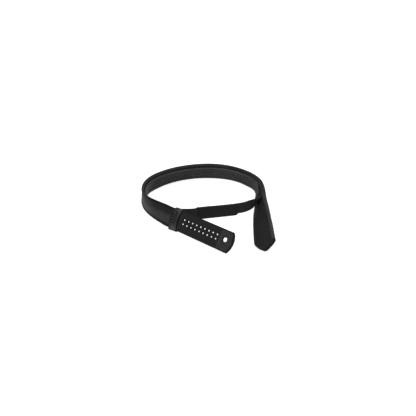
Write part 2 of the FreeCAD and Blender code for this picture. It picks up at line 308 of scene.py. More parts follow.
@dataclass(frozen=True)
class StrapSizes:
    """The strap's own sizes, in millimetres and degrees."""

    half_width: float = 8.0
    half_band: float = 1.2
    half_stack: float = 0.95
    layer_line: float = -0.35
    binding_depth: float = 1.6
    binding_edge: float = 0.3
    tab_end: Pair = (23.5, -80.0)
    tab_heading: float = 138.4
    front_run: float = 79.5
    left_radius: float = 41.5
    left_turn: float = 88.0
    back_radius: float = 58.1
    back_turn: float = 63.4
    right_radius: float = 38.9
    tail_heading: float = -90.0
    tab_cover: float = 57.5
    tab_hinge: float = 65.5
    keeper_growth: float = 0.8
    tail_hinge_back: float = 9.3
    tail_lift_run: float = 56.2
    tail_length: float = 97.2
    liner_start_run: float = 10.2
    liner_mid_out: float = -2.2
    stud_hole: Pair = (8.1, 0.8)
    closure_height: float = 8.1
    right_pulls: Pair = (37.2, 45.6)
    right_lean: Pair = (14.0, -24.0)
    left_pulls: Pair = (14.0, 17.0)
    left_lean: Pair = (0.6, 9.0)
    flap_hinge: Pair = (-3.0, -30.9)
    flap_heading: float = 194.0
    flap_mid_out: float = 1.6
    flap_length: float = 33.5

    @property
    def left_arc(self) -> float:
        """The left arc's length."""
        return self.left_radius * math.radians(self.left_turn)

    @property
    def back_arc(self) -> float:
        """The back arc's length."""
        return self.back_radius * math.radians(self.back_turn)

    @property
    def right_arc(self) -> float:
        """The right arc's length."""
        turn = self.tab_heading - self.tail_heading - self.left_turn - self.back_turn
        return self.right_radius * math.radians(turn)

    @property
    def back_start(self) -> float:
        """Where the back arc starts."""
        return self.front_run + self.left_arc

    @property
    def right_start(self) -> float:
        """Where the right arc starts."""
        return self.back_start + self.back_arc

    @property
    def loop_end(self) -> float:
        """Where the band leaves the loop."""
        return self.right_start + self.right_arc

    @property
    def liner_start(self) -> float:
        """Where the liner starts."""
        return self.front_run + self.liner_start_run

    @property
    def tail_hinge(self) -> float:
        """Where the tail swings."""
        return self.loop_end - self.tail_hinge_back

    @property
    def tail_lift(self) -> float:
        """Where the tail's end lifts."""
        return self.loop_end + self.tail_lift_run

    @property
    def tail_end(self) -> float:
        """The tail's point."""
        return self.loop_end + self.tail_length


SIZES = StrapSizes()

BAND_STRAY = Stray(
    SIZES.half_width,
    top_across=SmoothCurve(
        (
            (0.0, 0.6), (46.0, 0.6), (60.0, 0.3), (72.0, -0.4), (80.0, -0.1), (86.0, 0.25), (94.0, 0.0), (140.0, 0.0),
            (170.0, 0.25), (196.0, 0.45), (216.0, 0.0), (310.0, 0.05), (318.0, 0.4), (334.0, 0.6), (350.0, 0.8),
        )
    ),
    low_across=SmoothCurve(
        (
            (0.0, -0.2), (18.0, -0.2), (30.0, -0.4), (45.0, -0.5), (56.0, -0.15), (68.0, -0.1), (75.0, -0.3),
            (87.0, 0.0), (290.0, 0.0), (298.0, 0.3), (306.0, 0.75), (314.0, 0.6), (322.0, 0.25), (330.0, 0.0),
            (340.0, -0.15),
        )
    ),
    top_out=SmoothCurve(
        (
            (94.0, 0.0), (100.0, 0.3), (107.0, 0.0), (116.0, -0.15), (140.0, 0.0), (238.0, -0.1), (248.0, 0.1),
            (258.0, 1.1), (264.0, 1.35), (270.0, 1.3), (278.0, 0.8), (286.0, 0.2), (294.0, 0.05), (300.0, 0.0),
        )
    ),
    low_out=SmoothCurve(
        (
            (106.0, 0.0), (112.0, 0.1), (118.0, 0.45), (124.0, 0.5), (132.0, 0.15), (138.0, 0.0), (246.0, 0.0),
            (254.0, 0.6), (260.0, 1.1), (282.0, 0.95), (290.0, 0.77), (296.0, 0.5), (302.0, 0.1), (308.0, 0.0),
        )
    ),
)

RIGHT_STRAP_STRAY = Stray(
    5.2,
    top_across=SmoothCurve(
        (
            (12.0, 0.0), (18.0, 1.0), (24.0, 1.6), (28.0, 1.4), (32.0, 0.5), (37.0, -0.1), (45.0, -0.3), (60.0, -0.35),
            (68.0, -0.15),
        )
    ),
    low_across=SmoothCurve(((16.0, 0.0), (20.0, -0.9), (23.0, -0.9), (27.0, -0.35), (40.0, -0.7), (70.0, -0.8))),
    top_out=SmoothCurve(((8.0, 0.0), (12.0, 0.4), (16.0, 1.6), (20.0, 3.2), (24.0, 3.4), (28.0, 1.6), (33.0, 0.0))),
    low_out=SmoothCurve(((0.0, 0.0), (1.0, 0.0))),
)


def band_ribbon(sizes: StrapSizes) -> Ribbon:
    """Lays the outer band's ribbon out.

    Args:
        sizes: The strap's sizes.

    Returns:
        The ribbon from the tab's end to the tail's point.
    """
    front, left, back, right = sizes.front_run, sizes.left_arc, sizes.back_arc, sizes.right_arc
    tail = sizes.tail_length
    lean = SmoothCurve(
        (
            (sizes.tab_hinge, 37.0),
            (sizes.tab_hinge + 0.65 * (front - sizes.tab_hinge), 17.0),
            (front + 0.16 * left, -2.0),
            (front + 0.5 * left, 2.0),
            (sizes.back_start, 19.0),
            (sizes.back_start + 0.5 * back, 26.0),
            (sizes.right_start, 25.0),
            (sizes.right_start + 0.5 * right, 21.0),
            (sizes.loop_end - 0.2 * right, 4.0),
            (sizes.loop_end + 0.04 * tail, -16.0),
            (sizes.loop_end + 0.25 * tail, -33.0),
            (sizes.loop_end + 0.41 * tail, -48.0),
            (sizes.loop_end + 0.55 * tail, -63.0),
        )
    )
    growth = sizes.keeper_growth
    lift = SmoothCurve(((sizes.tab_hinge, growth), (front, growth * 0.6), (front + 0.33 * left, 0.0)))

    def height(along: float) -> float:
        """The height of the band's mid line, which rests on its lower edge."""
        angle = math.radians(lean.at(along))
        return sizes.half_width * math.cos(angle) + sizes.half_band * abs(math.sin(angle)) + lift.at(along)

    runs = ((front, 0.0), (left, sizes.left_radius), (back, sizes.back_radius), (right, sizes.right_radius))
    start = Vector((*sizes.tab_end, 0.0))
    route = ArcRoute(start, math.radians(sizes.tab_heading), (*runs, (tail, 0.0)))
    return Ribbon(route, lean, height, BAND_STRAY)


def closure_ribbons(sizes: StrapSizes, band: Ribbon) -> tuple[Ribbon, float, Ribbon, float]:
    """Lays the two closure straps' ribbons out.

    Args:
        sizes: The strap's sizes.
        band: The outer band's ribbon.

    Returns:
        The right ribbon and its length, then the left ribbon and its length.
    """
    heading = math.radians(sizes.flap_heading)
    hinge = Vector((*sizes.flap_hinge, 0.0))

    def level(along: float) -> float:
        """The height of the closure's mid line, the same all along."""
        return sizes.closure_height

    start, way = band.route.place(sizes.loop_end)
    start -= wrist_side(way) * sizes.liner_mid_out
    end = hinge + wrist_side(heading) * sizes.flap_mid_out
    right_route = BendRoute(start, way, end, heading, sizes.right_pulls)
    length = right_route.length
    right_lean = SmoothCurve(((0.0, band.lean.at(sizes.loop_end)), sizes.right_lean, (length / 2, 0.0)))
    right = Ribbon(right_route, right_lean, level, RIGHT_STRAP_STRAY)

    end, way = band.route.place(sizes.liner_start)
    end -= wrist_side(way) * sizes.liner_mid_out
    left_route = BendRoute(hinge, heading, end, way, sizes.left_pulls)
    left_length = left_route.length
    share, lean = sizes.left_lean
    left_lean = SmoothCurve(((0.0, 0.0), (left_length * share, lean), (left_length, band.lean.at(sizes.liner_start))))
    return right, length, Ribbon(left_route, left_lean, level), left_length


# ---- Finishes


class Weave(Enum):
    """The surface patterns, each a height between 0 and 1 over the piece's flat cut."""

    GRAIN = "leather grain"
    TWILL = "diagonal twill"
    PLAIN = "plain woven webbing"
    KNIT = "fine knitted wales"
    PILE = "brushed loop pile"
    HOOKS = "rows of fine hooks"
    TWIST = "twisted yarn"
    MOTTLE = "felted, uneven face"


class NodeSketch:
    """A short hand for laying out the nodes of one material, or of the surround."""

    def __init__(self, owner: bpy.types.Material | bpy.types.World) -> None:
        """Starts with no nodes.

        Args:
            owner: What the nodes belong to.
        """
        owner.use_nodes = True
        self.tree = owner.node_tree
        self.tree.nodes.clear()

    def node(self, kind: str, **settings: object) -> bpy.types.Node:
        """Adds a node.

        Args:
            kind: The node's type, without its ShaderNode prefix.
            **settings: Attributes to set on it.

        Returns:
            The node.
        """
        made = self.tree.nodes.new("ShaderNode" + kind)
        for key, value in settings.items():
            setattr(made, key, value)
        return made

    def join(self, source: bpy.types.NodeSocket, target: bpy.types.NodeSocket) -> None:
        """Links one socket to another."""
        self.tree.links.new(source, target)

    def sum(self, operation: str, *terms: bpy.types.NodeSocket | float) -> bpy.types.NodeSocket:
        """Adds a Math node.

        Args:
            operation: The node's operation, such as MULTIPLY.
            *terms: Sockets or plain numbers for its inputs.

        Returns:
            Its output socket.
        """
        made = self.node("Math", operation=operation)
        for socket, term in zip(made.inputs, terms):
            if isinstance(term, bpy.types.NodeSocket):
                self.join(term, socket)
            else:
                socket.default_value = term
        return made.outputs[0]

    def wave(self, place: bpy.types.NodeSocket, pitch: float) -> bpy.types.NodeSocket:
        """A sine between 0 and 1 along one coordinate, with a pitch in millimetres."""
        turned = self.sum("SINE", self.sum("MULTIPLY", place, 2 * math.pi / pitch))
        return self.sum("MULTIPLY_ADD", turned, 0.5, 0.5)

    def ramp(self, place: bpy.types.NodeSocket, start: float, run: float) -> bpy.types.NodeSocket:
        """A rise from 0 to 1 that starts at a place and takes a run, backwards with a negative run."""
        made = self.node("Math", operation="MULTIPLY_ADD", use_clamp=True)
        self.join(place, made.inputs[0])
        made.inputs[1].default_value = 1 / run
        made.inputs[2].default_value = -start / run
        return made.outputs[0]

    def noise(self, place: bpy.types.NodeSocket, size: float, detail: float) -> bpy.types.NodeSocket:
        """Noise between about 0 and 1 with features of a size in millimetres."""
        made = self.node("TexNoise")
        made.inputs["Scale"].default_value = 1 / size
        made.inputs["Detail"].default_value = detail
        self.join(place, made.inputs["Vector"])
        return made.outputs["Fac"]


@dataclass(frozen=True)
class Stripes:
    """Painted light and shade in stripes over ribs and cords, or a plain change of tone with no gain, in a soft-edged
    field of the flat cut.
    """

    lengthwise: bool
    pitch: float
    crest: float
    gain: float
    lift: float = 0.0
    low: float = -20.0
    high: float = 20.0
    fade: float = 0.1
    start: float = -40.0
    end: float = 420.0
    run: float = 8.0

    def shade(self, sketch: NodeSketch, u: bpy.types.NodeSocket, v: bpy.types.NodeSocket) -> bpy.types.NodeSocket:
        """Draws the stripes.

        Args:
            sketch: The material in the making.
            u: The place along, in millimetres.
            v: The place across, in millimetres.

        Returns:
            A factor round 1, or just 1 outside the field.
        """
        place = v if self.lengthwise else u
        turn = 2 * math.pi / self.pitch
        angle = sketch.sum("MULTIPLY_ADD", place, turn, math.pi / 2 - self.crest * turn)
        change = sketch.sum("MULTIPLY_ADD", sketch.sum("SINE", angle), self.gain, self.lift)
        lane = sketch.sum("MULTIPLY", sketch.ramp(v, self.low, self.fade), sketch.ramp(v, self.high, -self.fade))
        stretch = sketch.sum("MULTIPLY", sketch.ramp(u, self.start, self.run), sketch.ramp(u, self.end, -self.run))
        lane = sketch.sum("MULTIPLY", lane, stretch)
        return sketch.sum("MULTIPLY_ADD", change, lane, 1.0)


def tone(lift: float, low: float = -20.0, high: float = 20.0, fade: float = 0.1, **stretch: float) -> Stripes:
    """A plain change of tone in a field of the flat cut, used to paint light and shade.

    Args:
        lift: The share that the tone rises, or falls where negative.
        low: The field's lowest place across.
        high: Its highest place across.
        fade: How wide its long borders fade.
        **stretch: Its start, its end and how far both fade, along.

    Returns:
        The stripes that draw it.
    """
    return Stripes(True, 50.0, 0.0, 0.0, lift, low, high, fade, **stretch)


@dataclass(frozen=True)
class Finish:
    """One soft finish, with its colour, its weave and how it catches light."""

    name: str
    slot: str
    colour: tuple[float, float, float]
    weave: Weave
    pitch: float
    relief: float
    contrast: float = 0.35
    roughness: float = 0.75
    specular: float = 0.25
    sheen: float = 0.0
    patches: float = 0.25
    patch_size: float = 9.0
    sheen_roughness: float = 0.4
    crest_gloss: float = 0.12
    stripes: tuple[Stripes, ...] = ()

    def _height(self, sketch: NodeSketch, uv: bpy.types.NodeSocket) -> bpy.types.NodeSocket:
        """Draws the weave.

        Args:
            sketch: The material in the making.
            uv: The flat place in millimetres.

        Returns:
            The height, between about 0 and 1.
        """
        parts = sketch.node("SeparateXYZ")
        sketch.join(uv, parts.inputs[0])
        u, v = parts.outputs[0], parts.outputs[1]
        fuzz = sketch.noise(uv, self.pitch * 0.6, 4.0)
        if self.weave is Weave.GRAIN:
            cells = sketch.node("TexVoronoi", feature="DISTANCE_TO_EDGE")
            cells.inputs["Scale"].default_value = 1 / self.pitch
            sketch.join(uv, cells.inputs["Vector"])
            crease = sketch.sum("MINIMUM", sketch.sum("MULTIPLY", cells.outputs["Distance"], 4.0), 1.0)
            return sketch.sum("MULTIPLY_ADD", fuzz, 0.35, sketch.sum("MULTIPLY", crease, 0.65))
        if self.weave is Weave.TWILL:
            rise = sketch.wave(sketch.sum("ADD", u, v), self.pitch)
            thread = sketch.wave(sketch.sum("SUBTRACT", u, v), self.pitch * 0.45)
            body = sketch.sum("MULTIPLY", rise, sketch.sum("MULTIPLY_ADD", thread, 0.35, 0.65))
        elif self.weave is Weave.PLAIN:
            warp = sketch.sum("MULTIPLY_ADD", sketch.wave(u, self.pitch), 2.0, -1.0)
            weft = sketch.sum("MULTIPLY_ADD", sketch.wave(v, self.pitch * 0.8), 2.0, -1.0)
            body = sketch.sum("MULTIPLY_ADD", sketch.sum("MULTIPLY", warp, weft), 0.5, 0.5)
        elif self.weave is Weave.KNIT:
            wale = sketch.wave(v, self.pitch)
            loop = sketch.wave(sketch.sum("ADD", u, sketch.sum("MULTIPLY", wale, self.pitch * 0.5)), self.pitch * 0.9)
            body = sketch.sum("MULTIPLY_ADD", wale, 0.6, sketch.sum("MULTIPLY", loop, 0.4))
        elif self.weave is Weave.TWIST:
            slant = sketch.sum("MULTIPLY_ADD", v, 0.8, u)
            body = sketch.sum("POWER", sketch.wave(slant, self.pitch), 0.6)
        elif self.weave is Weave.HOOKS:
            dots = sketch.sum("MULTIPLY", sketch.wave(u, self.pitch), sketch.wave(v, self.pitch))
            body = sketch.sum("POWER", dots, 2.0)
        elif self.weave is Weave.PILE:
            body = sketch.noise(uv, self.pitch, 6.0)
        else:
            body = sketch.sum("MULTIPLY", sketch.noise(uv, self.pitch * 2.2, 3.0), 1.2)
        return sketch.sum("MULTIPLY_ADD", fuzz, 0.25, sketch.sum("MULTIPLY", body, 0.75))

    def material(self) -> bpy.types.Material:
        """Makes the finish's material.

        Returns:
            The material, with its colour, roughness and relief from the weave.
        """
        made = bpy.data.materials.new(self.name)
        sketch = NodeSketch(made)
        uv = sketch.node("UVMap", uv_map=FlatPiece.UV_NAME).outputs[0]
        height = self._height(sketch, uv)
        blotch = sketch.noise(uv, self.patch_size, 3.0)
        shade = sketch.sum("MULTIPLY_ADD", height, self.contrast * 2, 1.0 - self.contrast)
        worn = sketch.sum("MULTIPLY_ADD", blotch, self.patches * 2, 1.0 - self.patches)
        strength = sketch.sum("MULTIPLY", shade, worn)
        # The stripes paint light and shade into the base colour.
        if self.stripes:
            parts = sketch.node("SeparateXYZ")
            sketch.join(uv, parts.inputs[0])
            for stripes in self.stripes:
                factor = stripes.shade(sketch, parts.outputs[0], parts.outputs[1])
                strength = sketch.sum("MULTIPLY", strength, factor)
        tint = sketch.node("VectorMath", operation="SCALE")
        tint.inputs[0].default_value = self.colour
        sketch.join(strength, tint.inputs["Scale"])
        shader = sketch.node("BsdfPrincipled")
        sketch.join(tint.outputs[0], shader.inputs["Base Color"])
        rough = sketch.sum("MULTIPLY_ADD", height, -self.crest_gloss, self.roughness + self.crest_gloss / 2)
        sketch.join(rough, shader.inputs["Roughness"])
        shader.inputs["Specular IOR Level"].default_value = self.specular
        shader.inputs["Sheen Weight"].default_value = self.sheen
        shader.inputs["Sheen Roughness"].default_value = self.sheen_roughness
        bump = sketch.node("Bump")
        bump.inputs["Strength"].default_value = 1.0
        bump.inputs["Distance"].default_value = self.relief * METRE
        sketch.join(height, bump.inputs["Height"])
        sketch.join(bump.outputs[0], shader.inputs["Normal"])
        output = sketch.node("OutputMaterial")
        sketch.join(shader.outputs[0], output.inputs["Surface"])
        return made


@dataclass(frozen=True)
class Wardrobe:
    """Every finish of the strap, made into a material once.

    The painted light and shade of lit and shaded stretches follow the piece's own flat cut.
    """

    # Painted highlights on the cords' crests with painted shade between them, the corded lower half lighter, and
    # painted light on the band from its left turn on.
    face: Finish = Finish(
        "band_face_cloth", "band_face", (0.0130, 0.0131, 0.0137), Weave.TWILL, 1.5, 0.05, specular=0.08, sheen=0.12,
        stripes=(Stripes(True, 1.6, -3.9, 0.9, 1.8, -7.0, 2.6, 3.0), tone(1.2, start=80.0, run=30.0)),
    )
    lining: Finish = Finish(
        "band_lining_leather", "lining", (0.0370, 0.0365, 0.0385), Weave.GRAIN, 0.7, 0.03, specular=0.12,
    )
    # Lighter up to 291 mm: painted light against the shade in the crease under the right strap at the tail's root.
    tail_lining: Finish = Finish(
        "tail_lining_leather", "lining", (0.0110, 0.0102, 0.0105), Weave.GRAIN, 0.8, 0.03, specular=0.10,
        patches=0.1, stripes=(tone(1.6, end=291.0, run=7.0),),
    )
    # Lighter all along, and more so towards its end: painted light against the shade that the right strap casts in the
    # crease.
    root_lining: Finish = Finish(
        "tail_root_lining_leather", "lining", (0.0110, 0.0102, 0.0105), Weave.GRAIN, 0.8, 0.03, specular=0.10,
        patches=0.1, stripes=(tone(1.7, end=283.0, run=16.0), tone(1.6, start=272.0, run=8.0)),
    )
    binding: Finish = Finish(
        "edge_binding_twill", "binding", (0.0105, 0.0105, 0.0112), Weave.TWILL, 1.9, 0.10, contrast=0.5, specular=0.16,
        sheen=0.03,
    )
    # Painted shade along the binding's outer folds up to 92 mm, and painted light from the left turn on.
    front_binding: Finish = Finish(
        "front_binding_twill", "binding", (0.0150, 0.0148, 0.0155), Weave.TWILL, 1.9, 0.08, contrast=0.5, specular=0.06,
        stripes=(
            tone(-0.85, 7.0, 20.0, 0.3, end=92.0), tone(-0.85, -20.0, -7.0, 0.3, end=92.0),
            tone(1.6, start=82.0, run=20.0),
        ),
    )
    # Lighter than the other bindings: a painted highlight along the back's top edge.
    highlit_rim_binding: Finish = Finish(
        "back_binding_twill", "binding", (0.0290, 0.0292, 0.0305), Weave.TWILL, 1.9, 0.12, contrast=0.65, specular=0.14,
        sheen=0.04,
    )
    # Lighter than the other bindings: a painted highlight along the tail's right edge.
    highlit_edge_binding: Finish = Finish(
        "tail_edge_binding_twill", "binding", (0.0320, 0.0322, 0.0338), Weave.TWILL, 1.9, 0.10, contrast=0.5,
        specular=0.16, sheen=0.04,
    )
    tip_binding: Finish = Finish(
        "tail_point_binding_twill", "binding", (0.0100, 0.0100, 0.0107), Weave.TWILL, 1.9, 0.10, contrast=0.5,
        specular=0.10,
    )
    # Painted light on the ribs' and rows' crests with painted shade in their valleys, painted light towards the left
    # end and painted shade towards the right end.
    liner: Finish = Finish(
        "ribbed_liner_knit", "ribbed_liner", (0.0370, 0.0373, 0.0398), Weave.KNIT, 0.55, 0.06, specular=0.10,
        sheen=0.25,
        stripes=(
            Stripes(False, 1.5, 0.0, 0.5), Stripes(True, 1.75, 3.0, 1.0, 0.05, -2.9, 3.9),
            tone(1.8, end=134.0, run=38.0), tone(-0.35, start=214.0, run=24.0),
        ),
    )
    backing: Finish = Finish(
        "liner_backing_cloth", "liner_backing", (0.0090, 0.0090, 0.0096), Weave.PLAIN, 0.6, 0.04, specular=0.12,
    )
    # Pale tone painted as the cords' highlight, with painted shade towards the right end.
    piping: Finish = Finish(
        "liner_piping_cord", "piping", (0.0640, 0.0645, 0.0680), Weave.TWIST, 0.9, 0.06, specular=0.12, sheen=0.15,
        stripes=(tone(-0.3, start=222.0, run=20.0),),
    )
    webbing: Finish = Finish(
        "closure_webbing", "strap_webbing", (0.0325, 0.0300, 0.0312), Weave.PLAIN, 0.8, 0.06, specular=0.10,
    )
    # Darker from 9 to 24 mm: painted shade where the right strap's start runs into the crease at the tail's root.
    shaded_start_webbing: Finish = Finish(
        "closure_webbing_painted_shade", "strap_webbing", (0.0325, 0.0300, 0.0312), Weave.PLAIN, 0.8, 0.06, specular=0.10,
        stripes=(tone(-0.85, start=9.0, end=24.0, run=4.0),),
    )
    # A painted highlight along the rounded top edge and painted shade along the lower edge.
    flap: Finish = Finish(
        "closure_flap_cloth", "flap", (0.0080, 0.0072, 0.0075), Weave.PLAIN, 0.5, 0.03, roughness=0.6, specular=0.14,
        stripes=(tone(3.2, 4.4, 20.0, 0.5), tone(-0.9, -20.0, -4.7, 0.3)),
    )
    pile: Finish = Finish(
        "closure_loop_pile", "loop_pile", (0.0090, 0.0088, 0.0092), Weave.PILE, 0.35, 0.15, specular=0.1, sheen=0.06,
    )
    hooks: Finish = Finish(
        "closure_hook_tape", "hook_tape", (0.0100, 0.0100, 0.0104), Weave.HOOKS, 0.55, 0.20, roughness=0.5,
    )
    # Lighter from 50 mm on: painted light against the keeper's shade on the tab's root.
    tab: Finish = Finish(
        "tab_leather", "tab_leather", (0.0105, 0.0097, 0.0101), Weave.GRAIN, 0.55, 0.03, specular=0.12, patches=0.12,
        stripes=(tone(0.7, start=50.0, run=6.0),),
    )
    core: Finish = Finish(
        "tab_core_board", "stiffener", (0.0060, 0.0058, 0.0060), Weave.MOTTLE, 0.8, 0.03, specular=0.1,
    )
    patch: Finish = Finish(
        "tab_end_patch", "patch", (0.0172, 0.0170, 0.0180), Weave.MOTTLE, 0.9, 0.10, contrast=0.8, specular=0.14,
        patches=0.7, patch_size=2.4,
    )
    # Painted sheen lightens the top and bottom folds; the half by the mouth nearer the tab's end is lighter too.
    keeper: Finish = Finish(
        "keeper_webbing", "keeper_webbing", (0.0078, 0.0077, 0.0082), Weave.PLAIN, 0.9, 0.08, specular=0.10,
        patches=0.5, patch_size=2.2,
        stripes=(tone(2.8, -20.0, -3.6, 3.0), tone(2.8, 4.6, 20.0, 2.4), tone(1.2, end=60.5, run=3.0)),
    )
    # Pale tone painted as the hem's highlight, lighter towards the top with painted light.
    hem: Finish = Finish(
        "keeper_hem_tape", "keeper_webbing", (0.0370, 0.0368, 0.0385), Weave.TWILL, 0.7, 0.06, specular=0.10,
        stripes=(tone(0.5, -2.0, 20.0, 9.0),),
    )
    thread: Finish = Finish(
        "sewing_thread", "thread", (0.0180, 0.0180, 0.0188), Weave.TWIST, 0.35, 0.03, specular=0.2,
    )
    tack: Finish = Finish(
        "bar_tack_thread", "thread", (0.0600, 0.0600, 0.0630), Weave.TWIST, 0.35, 0.03, specular=0.2,
    )
    made: dict[str, bpy.types.Material] = field(default_factory=dict, compare=False)

    def material(self, finish: Finish) -> bpy.types.Material:
        """The finish's material, made the first time it is asked for."""
        if finish.name not in self.made:
            self.made[finish.name] = finish.material()
        return self.made[finish.name]


# ---- Flat pieces and how they are laid


def clamped(share: float) -> float:
    """The share, kept between 0 and 1."""
    return min(max(share, 0.0), 1.0)


def even_places(start: float, end: float, step: float) -> list[float]:
    """Even places from start to end, no further apart than a step."""
    count = max(1, math.ceil((end - start) / step))
    return [start + (end - start) * i / count for i in range(count + 1)]


def move(mesh: bmesh.types.BMesh, verts: Iterable[bmesh.types.BMVert], x: float, y: float, z: float) -> None:
    """Moves vertices of a flat piece."""
    bmesh.ops.translate(mesh, verts=list(verts), vec=Vector((x, y, z)))


class FlatPiece:
    """A piece in the making: cut flat in millimetres, then laid on a ribbon."""

    UV_NAME = "flat"
    MERGE_REACH = 1e-6
    SAME_PLACE = 1e-4
    END_WALL = 0.8
    EDGE_WALL = 0.7
    CREASE = 40.0

    def __init__(self) -> None:
        """Starts an empty piece."""
        self.mesh = bmesh.new()

    def sweep(self, section: Sequence[Pair], places: Sequence[float], closed: bool = True) -> "FlatPiece":
        """Rolls a grid into a tube with a closed section, given as (across, out), and caps both ends.

        Args:
            section: The section's corners in order.
            places: The places along x, in order.
            closed: Whether both ends are capped.

        Returns:
            The piece itself.
        """
        count, rows = len(section), len(places)
        grid = bmesh.ops.create_grid(self.mesh, x_segments=rows - 1, y_segments=count, size=0.5)["verts"]
        for vert in grid:
            across, out = section[round((vert.co.y + 0.5) * count) % count]
            vert.co = (places[round((vert.co.x + 0.5) * (rows - 1))], across, out)
        bmesh.ops.remove_doubles(self.mesh, verts=grid, dist=self.MERGE_REACH)
        if closed:
            for end in (places[0], places[-1]):
                rim = [e for e in self.mesh.edges if e.is_boundary and e.verts[0].co.x == e.verts[1].co.x]
                rim = [e for e in rim if abs(e.verts[0].co.x - end) < self.SAME_PLACE]
                bmesh.ops.contextual_create(self.mesh, geom=rim)
        bmesh.ops.recalc_face_normals(self.mesh, faces=self.mesh.faces)
        return self

    def shape(self, change: Callable[[Vector], Vector]) -> "FlatPiece":
        """Moves every vertex by a rule.

        Args:
            change: Gives a point's new place from its old one.

        Returns:
            The piece itself.
        """
        for vert in self.mesh.verts:
            vert.co = change(vert.co.copy())
        return self

    def map_flat(self) -> None:
        """Writes the flat place of every corner, in millimetres, with walls unrolled past the edge."""
        self.mesh.normal_update()
        layer = self.mesh.loops.layers.uv.new(self.UV_NAME)
        for face in self.mesh.faces:
            normal = face.normal
            for loop in face.loops:
                x, y, z = loop.vert.co
                if abs(normal.x) > self.END_WALL:
                    x += z
                elif abs(normal.y) > self.EDGE_WALL:
                    y += z
                loop[layer].uv = (x, y)

    def lay(self, ribbon: AnyRibbon, anchor: Vector, name: str, material: bpy.types.Material) -> bpy.types.Object:
        """Lays the piece on a ribbon, flattened where it rests on the table, and makes its object.

        Args:
            ribbon: The ribbon that carries it.
            anchor: Where the ribbons' own origin lies in the part's frame, in metres.
            name: The piece's name.
            material: Its material.

        Returns:
            The object, at the origin, with its place in its mesh.
        """
        self.map_flat()
        for vert in self.mesh.verts:
            x, y, z = vert.co
            vert.co = ribbon.point(x, y, z) * METRE + anchor
            vert.co.z = max(vert.co.z, 0.0)
        bmesh.ops.reverse_faces(self.mesh, faces=self.mesh.faces)
        data = bpy.data.meshes.new(name)
        self.mesh.to_mesh(data)
        self.mesh.free()
        data.materials.append(material)
        data.shade_smooth()
        data.set_sharp_from_angle(angle=math.radians(self.CREASE))
        made = bpy.data.objects.new(name, data)
        bpy.context.scene.collection.objects.link(made)
        return made


@dataclass(frozen=True)
class Carrier:
    """What a piece moves with: one body, or two with a soft stretch between them, where the piece is only placed."""

    body: str
    other: str | None = None
    start: Vector | None = None
    end: Vector | None = None

    def carry(self, piece: bpy.types.Object) -> None:
        """Ties the piece to its body, or, between two bodies, bakes its place into its mesh."""
        if self.other is None:
            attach(piece, self.body)
        else:
            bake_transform(piece)


@dataclass(frozen=True)
class Workshop:
    """What every sub-assembly needs: the ribbons, the anchor and the finishes."""

    sizes: StrapSizes
    wardrobe: Wardrobe
    band: Ribbon
    right: Ribbon
    right_length: float
    left: Ribbon
    left_length: float
    anchor: Vector

    @staticmethod
    def opened(sizes: StrapSizes) -> "Workshop":
        """Lays the ribbons out and finds where they lie in the part's frame.

        Args:
            sizes: The strap's sizes.

        Returns:
            The workshop.
        """
        band = band_ribbon(sizes)
        right, right_length, left, left_length = closure_ribbons(sizes, band)
        mount = next(m for m in frame["record"]["mounts"] if m["name"] == "stud_hole")
        along, across = sizes.stud_hole
        anchor = Vector(mount["pos_m"]) - band.station(along).point(across, 0.0) * METRE
        return Workshop(sizes, Wardrobe(), band, right, right_length, left, left_length, anchor)

    def spot(self, along: float) -> Vector:
        """A place on the band's even mid line, in the part's frame."""
        return self.band.station(along).mid * METRE + self.anchor

    def finished(
        self, flat: FlatPiece, ribbon: AnyRibbon, name: str, finish: Finish, carrier: Carrier, nodes: Sequence[str] = ()
    ) -> bpy.types.Object:
        """Lays a flat piece, dresses it and ties it to its bodies.

        Args:
            flat: The piece as cut.
            ribbon: The ribbon that carries it.
            name: Its name.
            finish: Its finish.
            carrier: What it moves with.
            nodes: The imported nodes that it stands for.

        Returns:
            The piece.
        """
        made = flat.lay(ribbon, self.anchor, name, self.wardrobe.material(finish))
        carrier.carry(made)
        if nodes:
            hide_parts(*nodes)
        logger.info("%s: %d faces, rides %s", name, len(made.data.polygons), carrier.body)
        return made


def rounded_box(low: float, high: float, inner: float, outer: float, radius: float, steps: int = 3) -> list[Pair]:
    """A rectangle with rounded corners.

    Args:
        low: Its lowest place across.
        high: Its highest place across.
        inner: Its place furthest in.
        outer: Its place furthest out.
        radius: The corners' radius.
        steps: The steps round each corner.

    Returns:
        The section's corners in order.
    """
    centres = (
        (high - radius, outer - radius, 0.0),
        (low + radius, outer - radius, 90.0),
        (low + radius, inner + radius, 180.0),
        (high - radius, inner + radius, 270.0),
    )
    section = []
    for y, z, start in centres:
        for i in range(steps + 1):
            angle = math.radians(start + 90.0 * i / steps)
            section.append((y + radius * math.cos(angle), z + radius * math.sin(angle)))
    return section


def with_runs(corners: Sequence[Pair], longest: float, closed: bool = True) -> list[Pair]:
    """Splits a line's long sides.

    Args:
        corners: The line's corners in order.
        longest: The longest that a side may stay.
        closed: Whether the line comes back to its first corner.

    Returns:
        The line's points.
    """
    split = []
    for (y0, z0), (y1, z1) in zip(corners, [*corners[1:], corners[0]] if closed else corners[1:]):
        count = max(1, math.ceil(math.hypot(y1 - y0, z1 - z0) / longest))
        split += [(y0 + (y1 - y0) * i / count, z0 + (z1 - z0) * i / count) for i in range(count)]
    return split if closed else [*split, corners[-1]]


def walked(path: Sequence[Pair], step: float) -> list[Pair]:
    """Even steps along a path.

    Args:
        path: The path's points.
        step: The length of one step.

    Returns:
        The places of the steps.
    """
    steps = [path[0]]
    spare = 0.0
    for (x0, y0), (x1, y1) in zip(path, path[1:]):
        length = math.hypot(x1 - x0, y1 - y0)
        place = step - spare
        while place <= length:
            steps.append((x0 + (x1 - x0) * place / length, y0 + (y1 - y0) * place / length))
            place += step
        spare = length - (place - step)
    return steps


